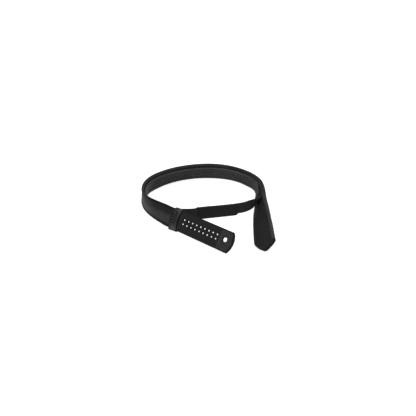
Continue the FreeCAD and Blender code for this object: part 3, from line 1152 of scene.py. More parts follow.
def stitched(rows: Sequence[tuple[Sequence[Pair], float]], width: float = 0.36, height: float = 0.26) -> FlatPiece:
    """Sews rows of small stitches.

    Args:
        rows: Each row's places, with how far out it lies.
        width: A stitch's width.
        height: A stitch's height.

    Returns:
        All the stitches as one cut piece.
    """
    flat = FlatPiece()
    for path, out in rows:
        for (x0, y0), (x1, y1) in zip(path, path[1:]):
            way = math.atan2(y1 - y0, x1 - x0)
            place = Matrix.Translation(((x0 + x1) / 2, (y0 + y1) / 2, out)) @ Matrix.Rotation(way, 4, "Z")
            size = Matrix.Diagonal((math.hypot(x1 - x0, y1 - y0) * 0.76, width, height, 1.0))
            bmesh.ops.create_uvsphere(flat.mesh, u_segments=6, v_segments=5, radius=0.5, matrix=place @ size)
    return flat


# ---- The outer band


@dataclass(frozen=True)
class TailPoint:
    """The outline of the tail's end: straight edges, and a blunt point with bulging sides."""

    start: float
    end: float
    low_corner: float = 16.2
    low_bulge: Pair = (9.0, 5.2)
    tip_across: float = -0.5
    tip_short: float = 1.6
    high_bulge: Pair = (7.8, 5.8)
    high_corner: float = 11.5
    low_lead: float = 2.5
    high_lead: float = 1.5

    @property
    def low_start(self) -> float:
        """Where the point's binding starts on the lower edge."""
        return self.end - self.low_corner - self.low_lead

    @property
    def high_start(self) -> float:
        """Where the point's binding ends on the top edge."""
        return self.end - self.high_corner - self.high_lead

    def outline(self, half_width: float, inset: float = 0.0) -> list[Pair]:
        """Walks round the end.

        Args:
            half_width: Half the tail's width.
            inset: How far the walk keeps inside the edge.

        Returns:
            Points (along, across) from the start on the lower edge round the point and back.
        """
        share = 1 - inset / half_width
        tip = self.end - self.tip_short - inset * 1.35
        low_bulge = (self.end - self.low_bulge[0] - inset * 0.5, -self.low_bulge[1] * share)
        high_bulge = (self.end - self.high_bulge[0] - inset * 0.8, self.high_bulge[1] * share)
        corners = [
            (self.start, inset - half_width, 0.0),
            (self.end - self.low_corner - inset * 0.2, inset - half_width, 4.0),
            (*low_bulge, 11.0),
            (tip, self.tip_across, 2.2),
            (*high_bulge, 6.0),
            (self.end - self.high_corner - inset * 0.4, half_width - inset, 1.2),
            (self.start, half_width - inset, 0.0),
        ]
        points: list[Pair] = [corners[0][:2]]
        for before, here, after in zip(corners, corners[1:], corners[2:]):
            points += round_turn(before[:2], here[:2], after[:2], here[2])
        points.append(corners[-1][:2])
        return points


def round_turn(before: Pair, corner: Pair, after: Pair, radius: float, steps: int = 6) -> list[Pair]:
    """Rounds one corner of an outline.

    Args:
        before: The point before it.
        corner: The corner.
        after: The point after it.
        radius: The rounding's radius.
        steps: The steps round it.

    Returns:
        The points of the rounding.
    """
    here = Vector(corner)
    to_before = (Vector(before) - here).normalized()
    to_after = (Vector(after) - here).normalized()
    half = to_before.angle(to_after) / 2
    reach = radius / math.tan(half)
    middle = here + (to_before + to_after).normalized() * (radius / math.sin(half))
    start = (here + to_before * reach - middle).normalized()
    end = (here + to_after * reach - middle).normalized()
    spokes = [start.slerp(end, i / steps) * radius for i in range(steps + 1)]
    return [(middle.x + spoke.x, middle.y + spoke.y) for spoke in spokes]


@dataclass(frozen=True)
class Stretch:
    """One stretch of the outer band, between two places along it."""

    name: str
    start: float
    end: float
    carrier: Carrier
    face_nodes: tuple[str, ...]
    lining_nodes: tuple[str, ...]
    top_nodes: tuple[str, ...]
    bottom_nodes: tuple[str, ...]
    lining_finish: Finish
    top_finish: Finish
    bottom_finish: Finish
    tip_nodes: tuple[str, ...] = ()

    @property
    def pointed(self) -> bool:
        """Whether the stretch ends in the tail's point."""
        return bool(self.tip_nodes)


@dataclass
class OuterBand:
    """The outer band and the tail: a corded face, a smooth lining and bindings folded over both edges."""

    shop: Workshop
    step: float = 1.6
    face_sink: float = 0.2
    crown: float = 0.15
    cord_places: tuple[float, ...] = (-5.5, -3.9, -2.3, -0.7)
    cord_height: float = 0.3
    cord_width: float = 1.15
    cord_marks: tuple[float, ...] = (-1.2, -1.0, -0.8, -0.4, 0.0, 0.4, 0.8, 1.0, 1.2)
    face_marks: tuple[float, ...] = (-6.4, 0.6, 1.5, 3.0, 4.5, 5.6, 6.4)
    lining_marks: tuple[float, ...] = (-5.4, -4.0, -2.0, 0.0, 2.0, 4.0, 5.4)
    lining_crown: float = 0.14
    seam_inset: float = 0.5
    stitch_pitch: float = 2.6
    stitch_sink: float = 0.15
    wide_fold: float = 2.3
    point_tail: int = 3
    point_step: float = 0.3
    front_end: float = 128.0
    back_end: float = 216.0
    root_end: float = 284.0
    root_soft: Pair = (3.0, 8.0)
    swing_soft: float = 6.0
    lift_soft: float = 10.0
    pieces: list[bpy.types.Object] = field(default_factory=list)

    def stretches(self) -> list[Stretch]:
        """The band's stretches from the tab's root to the tail's point."""
        s, shop = self.shop.sizes, self.shop
        before, after = self.root_soft
        root = Carrier("tab", "band", shop.spot(s.tab_hinge - before), shop.spot(s.tab_hinge + after))
        reach = self.swing_soft
        swing = Carrier("band", "tail", shop.spot(s.tail_hinge - reach), shop.spot(s.tail_hinge + reach))
        reach = self.lift_soft
        lift = Carrier("tail", "tail_tip", shop.spot(s.tail_lift - reach), shop.spot(s.tail_lift + reach))
        band_faces, band_linings = ("band_face", "band_stiffener"), ("band_lining",)
        tops, bottoms = ("band_top_binding",), ("band_bottom_binding",)
        tail_faces, tail_linings = ("tail_face", "tail_stiffener"), ("tail_lining",)
        tip_faces, tip_linings = ("tail_tip_face", "tail_tip_stiffener"), ("tail_tip_lining",)
        f = shop.wardrobe
        return [
            Stretch(
                "band_front", s.tab_cover, self.front_end, root, (*band_faces, "tab_root_cover"),
                (*band_linings, "tab_root_backing"), tops, bottoms, f.lining, f.front_binding, f.front_binding,
            ),
            Stretch(
                "band_back", self.front_end, self.back_end, Carrier("band"), band_faces, band_linings, tops, bottoms,
                f.lining, f.highlit_rim_binding, f.binding,
            ),
            Stretch(
                "tail_root", self.back_end, self.root_end, swing, (*band_faces, *tail_faces),
                (*band_linings, *tail_linings), (*tops, "tail_right_binding"), (*bottoms, "tail_left_binding"),
                f.root_lining, f.binding, f.binding,
            ),
            Stretch(
                "tail_end", self.root_end, s.tail_end, lift, (*tail_faces, *tip_faces),
                (*tail_linings, *tip_linings), ("tail_right_binding",), ("tail_left_binding",),
                f.tail_lining, f.highlit_edge_binding, f.binding, ("tail_tip_binding",),
            ),
        ]

    def _outer_height(self, across: float) -> float:
        """How far out the face lies at a place across, with its crown and its cords."""
        s = self.shop.sizes
        mouth = s.half_width - s.binding_depth
        rise = max(0.0, 1 - (across / mouth) ** 2)
        height = s.half_stack - self.face_sink + self.crown * rise**0.6
        for place in self.cord_places:
            reach = abs(across - place) / (self.cord_width / 2)
            if reach < 1:
                height += self.cord_height * math.sqrt(1 - reach * reach)
        return min(height, s.half_band)

    def _face_section(self) -> list[Pair]:
        """The face's section, with every cord round enough to shade."""
        s = self.shop.sizes
        edge = s.half_width - s.binding_edge
        marks = {-edge, edge, *self.face_marks}
        for place in self.cord_places:
            marks |= {place + self.cord_width / 2 * mark for mark in self.cord_marks}
        outer = [(y, self._outer_height(y)) for y in sorted(marks, reverse=True)]
        return [*outer, (-edge, s.layer_line), (edge, s.layer_line)]

    def _lining_section(self) -> list[Pair]:
        """The lining's section, slightly crowned towards the wrist."""
        s = self.shop.sizes
        edge = s.half_width - s.binding_edge
        mouth = s.half_width - s.binding_depth
        marks = (-edge, -mouth, *self.lining_marks, mouth, edge)
        inner = [(y, -s.half_stack - self.lining_crown * max(0.0, 1 - (y / mouth) ** 2) ** 0.5) for y in marks]
        return [*inner, (edge, s.layer_line), (-edge, s.layer_line)]

    def _binding_section(self, depth: float) -> list[Pair]:
        """The folded tape's section as (drawn in from the edge, out), pulled in along its stitch line.

        Args:
            depth: How far the tape reaches in from the edge.

        Returns:
            The section's corners in order.
        """
        s = self.shop.sizes
        band, stack = s.half_band, s.half_stack
        seam = depth - self.seam_inset
        outer = [
            (depth, band - 0.2), (depth - 0.1, band - 0.07), (seam + 0.22, band - 0.05),
            (seam, band - self.stitch_sink), (seam - 0.22, band - 0.05), (min(0.62, seam - 0.3), band),
            (0.40, band), (0.19, band - 0.09), (0.05, band - 0.3),
        ]
        mouth = [(depth, -stack), (s.binding_edge, -stack), (s.binding_edge, stack), (depth, stack)]
        return [*outer, (0.0, 0.0), *((y, -z) for y, z in reversed(outer)), *mouth]

    def _straight_binding(self, places: Sequence[float], side: int, depth: float) -> FlatPiece:
        """The binding along one straight edge, the top edge with side 1."""
        half = self.shop.sizes.half_width
        section = [(side * (half - inwards), out) for inwards, out in self._binding_section(depth)]
        return FlatPiece().sweep(section, places)

    def _outline(self, stretch: Stretch) -> list[Pair]:
        """The pointed end's outline with short steps, from the stretch's start round and back."""
        corners = TailPoint(stretch.start, stretch.end).outline(self.shop.sizes.half_width)
        return with_runs(corners, self.step, closed=False)

    def _pointed_binding(self, outline: Sequence[Pair], depth: float) -> FlatPiece:
        """The binding that follows the pointed end's outline, mitred where it turns."""
        flat = FlatPiece().sweep(self._binding_section(depth), [float(i) for i in range(len(outline))])
        frames = []
        for i, (x, y) in enumerate(outline):
            before = Vector(outline[max(i - 1, 0)])
            after = Vector(outline[min(i + 1, len(outline) - 1)])
            way = (after - before).normalized()
            to_here = (Vector((x, y)) - before).normalized() if i else way
            mitre = 1 / max(0.5, abs(way.dot(to_here)))
            frames.append((x, y, Vector((-way.y, way.x)) * mitre))

        def follow(point: Vector) -> Vector:
            """Turns a place of the straight tape onto the outline."""
            x, y, inwards = frames[round(point.x)]
            return Vector((x + inwards.x * point.y, y + inwards.y * point.y, point.z))

        return flat.shape(follow)

    def _bindings(
        self, stretch: Stretch, places: Sequence[float]
    ) -> list[tuple[str, FlatPiece, Finish, tuple[str, ...]]]:
        """Cuts the bindings of one stretch.

        Args:
            stretch: The stretch.
            places: Its places along.

        Returns:
            Each binding's name, cut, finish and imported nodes.
        """
        s = self.shop.sizes
        top, bottom = (stretch.top_finish, stretch.top_nodes), (stretch.bottom_finish, stretch.bottom_nodes)
        if not stretch.pointed:
            return [
                ("top_binding", self._straight_binding(places, 1, s.binding_depth), *top),
                ("bottom_binding", self._straight_binding(places, -1, s.binding_depth), *bottom),
            ]
        point = TailPoint(stretch.start, stretch.end)
        low, high = point.low_start, point.high_start
        outline = [(x, y) for x, y in self._outline(stretch) if x >= (low if y < 0 else high) - 0.01]
        outline = [(low, -s.half_width), *outline, (high, s.half_width)]
        right, left = even_places(stretch.start, high, self.step), even_places(stretch.start, low, self.step)
        round_point = self._pointed_binding(outline, s.binding_depth)
        return [
            ("right_edge", self._straight_binding(right, 1, self.wide_fold), *top),
            ("left_edge", self._straight_binding(left, -1, s.binding_depth), *bottom),
            ("point_edge", round_point, self.shop.wardrobe.tip_binding, stretch.tip_nodes),
        ]

    def _pointed(self, flat: FlatPiece, outline: Sequence[Pair]) -> FlatPiece:
        """Draws a swept layer in to the pointed end's outline."""
        s = self.shop.sizes
        inset = s.binding_edge
        tip = max(x for x, _ in outline) - inset

        def reach(along: float, side: int) -> float:
            """The outline's reach across at a place along, on one side."""
            best = 0.0
            edge = [(x, y) for x, y in outline if y * side >= 0]
            for (x0, y0), (x1, y1) in zip(edge, edge[1:]):
                if min(x0, x1) <= along <= max(x0, x1) and x0 != x1:
                    best = max(best, abs(y0 + (y1 - y0) * (along - x0) / (x1 - x0)))
            return best

        def draw_in(point: Vector) -> Vector:
            """Scales a place across to the outline."""
            along = min(point.x, tip)
            side = 1 if point.y >= 0 else -1
            share = max(reach(along + inset * 0.5, side) - inset, 0.02) / (s.half_width - inset)
            return Vector((along, point.y * min(share, 1.0), point.z))

        return flat.shape(draw_in)

    def _rows(self, stretch: Stretch) -> list[tuple[Sequence[Pair], float]]:
        """The stitch rows of one stretch, on both faces of both edges."""
        s = self.shop.sizes
        out = s.half_band - self.stitch_sink
        rows: list[tuple[Sequence[Pair], float]] = []
        depths = {1: s.binding_depth, -1: s.binding_depth}
        ends = {1: stretch.end, -1: stretch.end}
        if stretch.pointed:
            point = TailPoint(stretch.start, stretch.end)
            depths[1] = self.wide_fold
            ends = {1: point.high_start, -1: point.low_start}
            line = s.binding_depth - self.seam_inset
            walk = walked(point.outline(s.half_width, line), self.stitch_pitch)
            walk = [(x, y) for x, y in walk if x >= (ends[1] if y > 0 else ends[-1])]
            rows += [(walk, out), (walk, -out)]
        for side in (-1, 1):
            across = side * (s.half_width - depths[side] + self.seam_inset)
            path = [(x, across) for x in even_places(stretch.start, ends[side], self.stitch_pitch)]
            rows += [(path, out), (path, -out)]
        return rows

    def build(self) -> None:
        """Builds and dresses every stretch."""
        shop, finishes = self.shop, self.shop.wardrobe
        for stretch in self.stretches():
            places = even_places(stretch.start, stretch.end, self.step)
            if stretch.pointed:
                tail = self.point_tail
                places = places[:-tail] + even_places(places[-tail], stretch.end, self.point_step)
            face = FlatPiece().sweep(self._face_section(), places)
            lining = FlatPiece().sweep(self._lining_section(), places)
            if stretch.pointed:
                outline = self._outline(stretch)
                face, lining = self._pointed(face, outline), self._pointed(lining, outline)
            rows = stitched(self._rows(stretch))
            parts = [
                ("outer_face", face, finishes.face, stretch.face_nodes),
                ("inner_lining", lining, stretch.lining_finish, stretch.lining_nodes),
                *self._bindings(stretch, places),
                ("stitching", rows, finishes.thread, ()),
            ]
            for suffix, flat, finish, nodes in parts:
                name = f"{stretch.name}_{suffix}"
                self.pieces.append(shop.finished(flat, shop.band, name, finish, stretch.carrier, nodes))


# ---- The padded liner


@dataclass
class Liner:
    """The padded liner inside the band: cross-ribbed padding, its backing and piping along both edges."""

    shop: Workshop
    low: float = -6.8
    high: float = 5.8
    seam: float = 1.0
    outer: float = -1.55
    back: float = -2.05
    face: float = -2.85
    rib_pitch: float = 1.5
    rib_depth: float = 0.3
    row_pitch: float = 1.75
    row_crest: float = 3.0
    row_lane: Pair = (-2.9, 3.9)
    taper_run: float = 22.0
    taper_low: float = 0.70
    taper_high: float = 0.84
    taper_thin: float = 0.45
    taper_near: float = 0.25
    fullness: float = 1.1
    sag: float = 0.65
    full_run: tuple[float, float, float, float] = (126.0, 146.0, 232.0, 246.0)
    strand_pitch: float = 2.2
    strand_swell: float = 0.07
    cord_step: float = 0.45
    cord_stand: float = 0.15
    backing_step: float = 1.6
    pieces: list[bpy.types.Object] = field(default_factory=list)

    def _filled(self, point: Vector) -> Vector:
        """Lets the padding bulge towards the wrist along the back, most at its lower edge."""
        rise, full, fall, flat = self.full_run
        share = clamped((point.x - rise) / (full - rise)) * clamped((flat - point.x) / (flat - fall))
        depth = (self.outer - point.z) / (self.outer - self.face)
        lower = (self.high - point.y) / (self.high - self.low)
        share *= share * (3 - 2 * share)
        bulge = self.fullness * share * depth * (0.25 + 0.75 * lower)
        lean = math.radians(self.shop.band.lean.at(point.x))
        across = point.y + bulge * math.sin(lean) * lower - self.sag * share * lower**2
        return Vector((point.x, across, point.z - bulge * math.cos(lean)))

    def _taper(self, point: Vector) -> Vector:
        """Narrows and thins the liner into its right end, and draws it to the band there."""
        point = self._filled(point)
        run = clamped((point.x - (self.shop.sizes.loop_end - self.taper_run)) / self.taper_run)
        ease = run * run * (3 - 2 * run)
        across = point.y * (1 - ease * (1 - (self.taper_low if point.y < 0 else self.taper_high)))
        out = self.outer + (point.z - self.outer) * (1 - ease * self.taper_thin) + ease * self.taper_near
        return Vector((point.x, across, out))

    def _padding(self, start: float, end: float) -> FlatPiece:
        """The padding, crowned across and ribbed along."""
        low, high = self.low + self.seam, self.high - self.seam
        section = with_runs(rounded_box(low, high, self.face, self.back, 0.3, 3), 0.32)
        flat = FlatPiece().sweep(section, even_places(start, end, self.rib_pitch / 6))
        middle, reach = (low + high) / 2, (high - low) / 2

        def pad(point: Vector) -> Vector:
            """Sinks the face between the ribs and towards both seams."""
            depth = (self.back - point.z) / (self.back - self.face)
            if depth <= 0:
                return point
            side = abs(point.y - middle) / reach
            valley = (0.5 - 0.5 * math.cos(2 * math.pi * point.x / self.rib_pitch)) ** 1.5
            if self.row_lane[0] < point.y < self.row_lane[1]:
                row = 0.5 - 0.5 * math.cos(2 * math.pi * (point.y - self.row_crest) / self.row_pitch)
                valley = max(valley, 0.8 * row**3)
            sink = self.rib_depth * valley * max(0.0, 1 - side**6) + 0.2 * side**4
            return Vector((point.x, point.y, point.z + sink * depth))

        return flat.shape(pad)

    def _piping(self, start: float, end: float, low: float) -> FlatPiece:
        """A twisted cord of two strands along one edge."""
        y, z = low + self.seam / 2, (self.outer + self.face - self.cord_stand) / 2
        half_across, half_out = self.seam / 2, (self.outer - self.face + self.cord_stand) / 2
        ring = [(math.cos(math.radians(a)), math.sin(math.radians(a))) for a in range(0, 360, 30)]
        flat = FlatPiece().sweep(ring, even_places(start, end, self.cord_step))

        def twist(point: Vector) -> Vector:
            """Swells the cord where its strands rise."""
            angle = math.atan2(point.z, point.y)
            turn = 2 * angle - 2 * math.pi * point.x / self.strand_pitch
            lobe = 1 - self.strand_swell + self.strand_swell * math.cos(turn)
            return Vector((point.x, y + half_across * lobe * point.y, z + half_out * lobe * point.z))

        return flat.shape(twist)

    def build(self) -> None:
        """Builds and dresses the liner."""
        shop, finishes = self.shop, self.shop.wardrobe
        start, end = shop.sizes.liner_start, shop.sizes.loop_end
        carrier = Carrier("band")
        low, high = self.low + self.seam, self.high - self.seam
        section = with_runs(rounded_box(low, high, self.back, self.outer, 0.15, 2), 1.5)
        backing = FlatPiece().sweep(section, even_places(start, end, self.backing_step))
        parts = [
            ("liner_ribbed_pad", self._padding(start, end), finishes.liner, "liner_padding"),
            ("liner_back_cloth", backing, finishes.backing, "liner_backing"),
            ("liner_top_cord", self._piping(start, end, high), finishes.piping, "liner_top_piping"),
            ("liner_bottom_cord", self._piping(start, end, self.low), finishes.piping, "liner_bottom_piping"),
        ]
        for name, flat, finish, node in parts:
            self.pieces.append(shop.finished(flat.shape(self._taper), shop.band, name, finish, carrier, (node,)))


# ---- The closure at the front


@dataclass
class Closure:
    """The two closure straps, the pile on the right one, and the flap with its hook tape."""

    shop: Workshop
    strap_half: float = 4.5
    strap_thickness: float = 0.9
    tuck: float = 9.0
    tuck_narrow: float = 0.2
    pile_thickness: float = 0.3
    pile_half: float = 4.0
    hook_out: float = 1.0
    hook_half: float = 4.2
    flap_out: float = 1.3
    flap_top: float = 1.9
    flap_half: float = 5.2
    flap_radius: float = 2.6
    flap_seam: float = 0.9
    start_run: float = 34.0
    start_near: float = 1.5
    hinge_run: float = 12.0
    hinge_gap: float = 0.25
    hook_inset: float = 1.5
    hook_radius: float = 1.7
    stitch_pitch: float = 1.7
    crown: float = 0.16
    step: float = 1.5
    groove_place: float = 3.7
    groove_width: float = 0.3
    groove_depth: float = 0.12
    hinge_growth: float = 0.14
    hinge_drop: SmoothCurve = SmoothCurve(((0.0, 0.0), (5.0, 0.1), (9.0, 0.0)))
    pieces: list[bpy.types.Object] = field(default_factory=list)

    def _settle_ends(self, point: Vector) -> Vector:
        """Draws the right strap's start towards the band that it leaves, and narrows its tucked end."""
        run = min(point.x / self.start_run, 1.0)
        tucked = clamped((point.x - self.shop.right_length) / 2.0)
        across = point.y * (1 - self.tuck_narrow * tucked) if point.y > 0 else point.y
        return Vector((point.x, across, point.z + self.start_near * (1 - run * run) ** 2))

    def _widen_hinge(self, point: Vector) -> Vector:
        """Widens the left strap's lower half towards the flap that it is sewn to, and draws its top edge down."""
        run = max(0.0, 1 - point.x / self.hinge_run)
        top = 1 - self.hinge_drop.at(point.x) / self.strap_half
        return Vector((point.x, point.y * (1 + self.hinge_growth * run if point.y < 0 else top), point.z))

    def _flap_stitches(self, start: float, end: float) -> FlatPiece:
        """One row of stitches inside the flap's border, round its free end."""
        half, radius, out = self.flap_half - self.flap_seam, self.flap_radius, self.flap_top - 0.06
        first = start + self.flap_seam
        corners = [(end, -half), (first, -half), (first, half), (end, half)]
        path = [corners[0]]
        for before, here, after in zip(corners, corners[1:], corners[2:]):
            path += round_turn(before, here, after, radius - self.flap_seam)
        return stitched([(walked([*path, corners[-1]], self.stitch_pitch), out)])

    def _webbing(self, places: Sequence[float]) -> FlatPiece:
        """A strap of webbing with a thicker selvedge along both edges."""
        half = self.strap_thickness / 2
        section = with_runs(rounded_box(-self.strap_half, self.strap_half, -half, half, 0.3, 3), 0.6)

        def selvedge(point: Vector) -> Vector:
            """Thins the strap a little inside its two edges."""
            side = abs(point.y)
            groove = math.exp(-(((side - self.groove_place) / self.groove_width) ** 2)) * self.groove_depth
            groove += self.groove_depth / 3 if side < self.groove_place - self.groove_width else 0.0
            return Vector((point.x, point.y, point.z - math.copysign(groove, point.z)))

        return FlatPiece().sweep(section, places).shape(selvedge)

    def _round_ended(
        self, span: Pair, half: float, radius: float, depth: Pair, crown: float = 0.0
    ) -> FlatPiece:
        """A strip whose first end has round corners and whose outer face is crowned.

        Args:
            span: Where it starts and ends along.
            half: Half its width.
            radius: The corners' radius.
            depth: Its inner and its outer place out.
            crown: How far the outer face falls towards its edges.

        Returns:
            The strip as cut.
        """
        (start, end), (inner, outer) = span, depth
        thickness = outer - inner
        section = with_runs(rounded_box(-half, half, inner, outer, min(0.28, thickness * 0.45), 3), 0.7)
        corner = [start + radius * (1 - math.cos(math.pi / 2 * i / 8)) for i in range(9)]
        places = [*corner[:-1], *even_places(corner[-1], end, 1.2)]

        def shape(point: Vector) -> Vector:
            """Rounds the end's corners and crowns the outer face."""
            short = max(radius - (point.x - start), 0.0)
            reach = half - radius + math.sqrt(max(radius**2 - short**2, 0.0))
            share = (point.z - inner) / thickness
            edge = max(abs(point.y) / half, 1 - (point.x - start) / radius)
            drop = crown * max(0.0, edge) ** 3
            return Vector((point.x, point.y * reach / half, point.z - drop * share))

        return FlatPiece().sweep(section, places).shape(shape)

    def build(self) -> None:
        """Builds and dresses the closure."""
        shop, finishes = self.shop, self.shop.wardrobe
        length = shop.right_length
        flap_start, flap_end = length - shop.sizes.flap_length, length - self.hinge_gap
        joined = JoinedRibbon(shop.right, length, shop.left, -shop.sizes.flap_mid_out)
        right_places = even_places(0.0, length, self.step)
        right_places += even_places(length, length + self.tuck, self.step)[1:]
        left_places = even_places(self.hinge_gap, shop.left_length, self.step)
        on_band, on_flap = Carrier("band"), Carrier("flap")
        half = self.strap_thickness / 2
        right = self._webbing(right_places).shape(self._settle_ends)
        left = self._webbing(left_places).shape(self._widen_hinge)
        section = with_runs(rounded_box(-self.pile_half, self.pile_half, half, half + self.pile_thickness, 0.1, 2), 0.8)
        pile = FlatPiece().sweep(section, even_places(flap_start, length, self.step))
        hook_span, hook_depth = (flap_start + self.hook_inset, flap_end), (self.hook_out, self.flap_out)
        hooks = self._round_ended(hook_span, self.hook_half, self.hook_radius, hook_depth)
        flap_span, flap_depth = (flap_start, flap_end), (self.flap_out, self.flap_top)
        flap = self._round_ended(flap_span, self.flap_half, self.flap_radius, flap_depth, self.crown)
        parts = [
            ("right_strap", right, joined, finishes.shaded_start_webbing, on_band, "closure_strap_right"),
            ("left_strap", left, shop.left, finishes.webbing, on_band, "closure_strap_left"),
            ("loop_pile_strip", pile, shop.right, finishes.pile, on_band, "closure_pile"),
            ("hook_strip", hooks, shop.right, finishes.hooks, on_flap, "closure_hook_tape"),
            ("front_flap", flap, shop.right, finishes.flap, on_flap, "closure_flap"),
        ]
        for name, flat, ribbon, finish, carrier, node in parts:
            self.pieces.append(shop.finished(flat, ribbon, name, finish, carrier, (node,)))
        seam = self._flap_stitches(flap_start, length - 1.0)
        self.pieces.append(shop.finished(seam, shop.right, "flap_stitching", finishes.thread, on_flap))


# ---- The perforated tab


@dataclass
class Tab:
    """The perforated tab: a leather face and backing on a core, with patches round the stud hole."""

    shop: Workshop
    half_thickness: float = 0.7
    core_top: float = 0.2
    core_bottom: float = -0.2
    bulge: float = 3.0
    corner_radius: float = 1.2
    hole_radius: float = 1.0
    core_hole_radius: float = 0.62
    core_hole_squash: float = 0.84
    core_stud_radius: float = 1.9
    hole_pitch: float = 4.22
    hole_pairs: int = 9
    first_pair: float = 16.6
    row_spacing: float = 3.35
    row_offset: float = 0.4
    stud_radius: float = 2.1
    hole_segments: int = 24
    stud_segments: int = 40
    hole_brim: tuple[Pair, ...] = ((0.28, 0.0), (0.08, 0.05), (0.0, 0.16))
    leather_rim: float = 0.18
    core_rim: float = 0.02
    core_inset: float = 0.12
    patch_rim: float = 0.12
    edge_groove: tuple[Pair, ...] = ((0.9, 0.0), (0.16, -0.09), (0.16, 0.09))
    patch_length: float = 13.4
    patch_inset: float = 0.9
    patch_thickness: float = 0.3
    inner_end: float = 60.0
    end_steps: int = 24
    seam_frame: tuple[float, float, float, float] = (3.2, 12.5, -5.6, 6.2)
    seam_insets: Pair = (0.0, 1.5)
    seam_step: float = 0.75
    seam_swing: float = 0.42
    seam_rise: float = 0.02
    seam_thread: Pair = (0.3, 0.2)
    pieces: list[bpy.types.Object] = field(default_factory=list)

    def _holes(self, radius: float) -> list[tuple[float, float, float]]:
        """The paired holes as (along, across, radius)."""
        holes = []
        for pair in range(self.hole_pairs):
            for side in (-0.5, 0.5):
                along = self.first_pair + pair * self.hole_pitch
                holes.append((along, self.row_offset + side * self.row_spacing, radius))
        return holes

    def _outline(self, inset: float, back: float) -> list[Pair]:
        """The tab's outline with its bulged end, drawn in by an inset, as far back as a distance along."""
        half = self.shop.sizes.half_width - inset
        depth = self.bulge
        radius = (half * half + depth * depth) / (2 * depth)
        opening = math.asin(half / radius)
        end = []
        for i in range(self.end_steps + 1):
            angle = -opening + 2 * opening * i / self.end_steps
            end.append((inset + radius - radius * math.cos(angle), radius * math.sin(angle)))
        high = round_turn(end[-4], end[-1], (back, half), self.corner_radius)
        return [(back, -half), *end[:-3], *high, (back, half)]

    def _plate(
        self,
        outline: Sequence[Pair],
        holes: Sequence[tuple[float, float, float]],
        inner: float,
        outer: float,
        rim: float,
        squash: float = 1.0,
    ) -> FlatPiece:
        """A plate with a rolled edge and dished hole rims on its outer face.

        Args:
            outline: The plate's outline.
            holes: Its holes as (along, across, radius).
            inner: Its plain face's place out.
            outer: Its shown face's place out, further from the mid line.
            rim: How far the edges are rolled over.
            squash: The holes' size across against their size along.

        Returns:
            The plate as cut.
        """
        flat = FlatPiece()
        mesh = flat.mesh
        side = math.copysign(1.0, outer - inner)
        corners = [mesh.verts.new((x, y, outer - side * rim)) for x, y in outline]
        sheet = mesh.faces.new(corners)
        rolled = ((rim * 0.6, rim * 0.75), (rim * 0.8, rim * 0.25))
        for width, rise in (*rolled, *(self.edge_groove if len(holes) > 1 else ())):
            bmesh.ops.inset_individual(mesh, faces=[sheet], thickness=width, use_even_offset=True)
            move(mesh, sheet.verts, 0, 0, side * rise)
        border = list(sheet.edges)
        bmesh.ops.delete(mesh, geom=[sheet], context="FACES_ONLY")
        rings: list[bmesh.types.BMEdge] = []
        for x, y, radius in holes:
            segments = self.hole_segments if radius <= self.hole_radius else self.stud_segments
            wide, brow, lip = (
                self._ring(mesh, (x, y, outer - side * sink), radius + growth, segments, squash)
                for growth, sink in self.hole_brim
            )
            bmesh.ops.bridge_loops(mesh, edges=brow + wide)
            bmesh.ops.bridge_loops(mesh, edges=lip + brow)
            rings += wide
        bmesh.ops.triangle_fill(mesh, edges=border + rings, use_beauty=True)
        open_edges = [edge for edge in mesh.edges if len(edge.link_faces) == 1]
        grown = bmesh.ops.extrude_edge_only(mesh, edges=open_edges)["geom"]
        for vert in (g for g in grown if isinstance(g, bmesh.types.BMVert)):
            vert.co.z = inner
        base = [edge for edge in mesh.edges if len(edge.link_faces) == 1]
        bmesh.ops.triangle_fill(mesh, edges=base, use_beauty=True)
        bmesh.ops.recalc_face_normals(mesh, faces=mesh.faces)
        return flat

    @staticmethod
    def _ring(
        mesh: bmesh.types.BMesh, middle: tuple[float, float, float], radius: float, segments: int, squash: float
    ) -> list[bmesh.types.BMEdge]:
        """A ring of edges round a hole."""
        place = Matrix.Translation(middle) @ Matrix.Diagonal((1.0, squash, 1.0, 1.0))
        made = bmesh.ops.create_circle(mesh, cap_ends=False, radius=radius, segments=segments, matrix=place)["verts"]
        return list(dict.fromkeys(edge for vert in made for edge in vert.link_edges))

    def _zigzag(self) -> FlatPiece:
        """Two zigzag seams round the stud hole, on both patches."""
        start, end, low, high = self.seam_frame
        rows = []
        for inset in self.seam_insets:
            corners = [(start, low), (end, low), (end, high), (start, high), (start, low)]
            middle = Vector(((start + end) / 2, (low + high) / 2))
            border = [
                (x - math.copysign(inset, x - middle.x), y - math.copysign(inset, y - middle.y)) for x, y in corners
            ]
            steps = walked(border, self.seam_step)
            path = []
            for i, (x, y) in enumerate(steps):
                away = Vector((x, y)) - middle
                wide = abs(away.x) * (high - low) > abs(away.y) * (end - start)
                swing = self.seam_swing * (-1) ** i
                path.append((x + swing, y) if wide else (x, y + swing))
            out = self.half_thickness + self.patch_thickness + self.seam_rise
            rows += [(path, out), (path, -out)]
        return stitched(rows, *self.seam_thread)

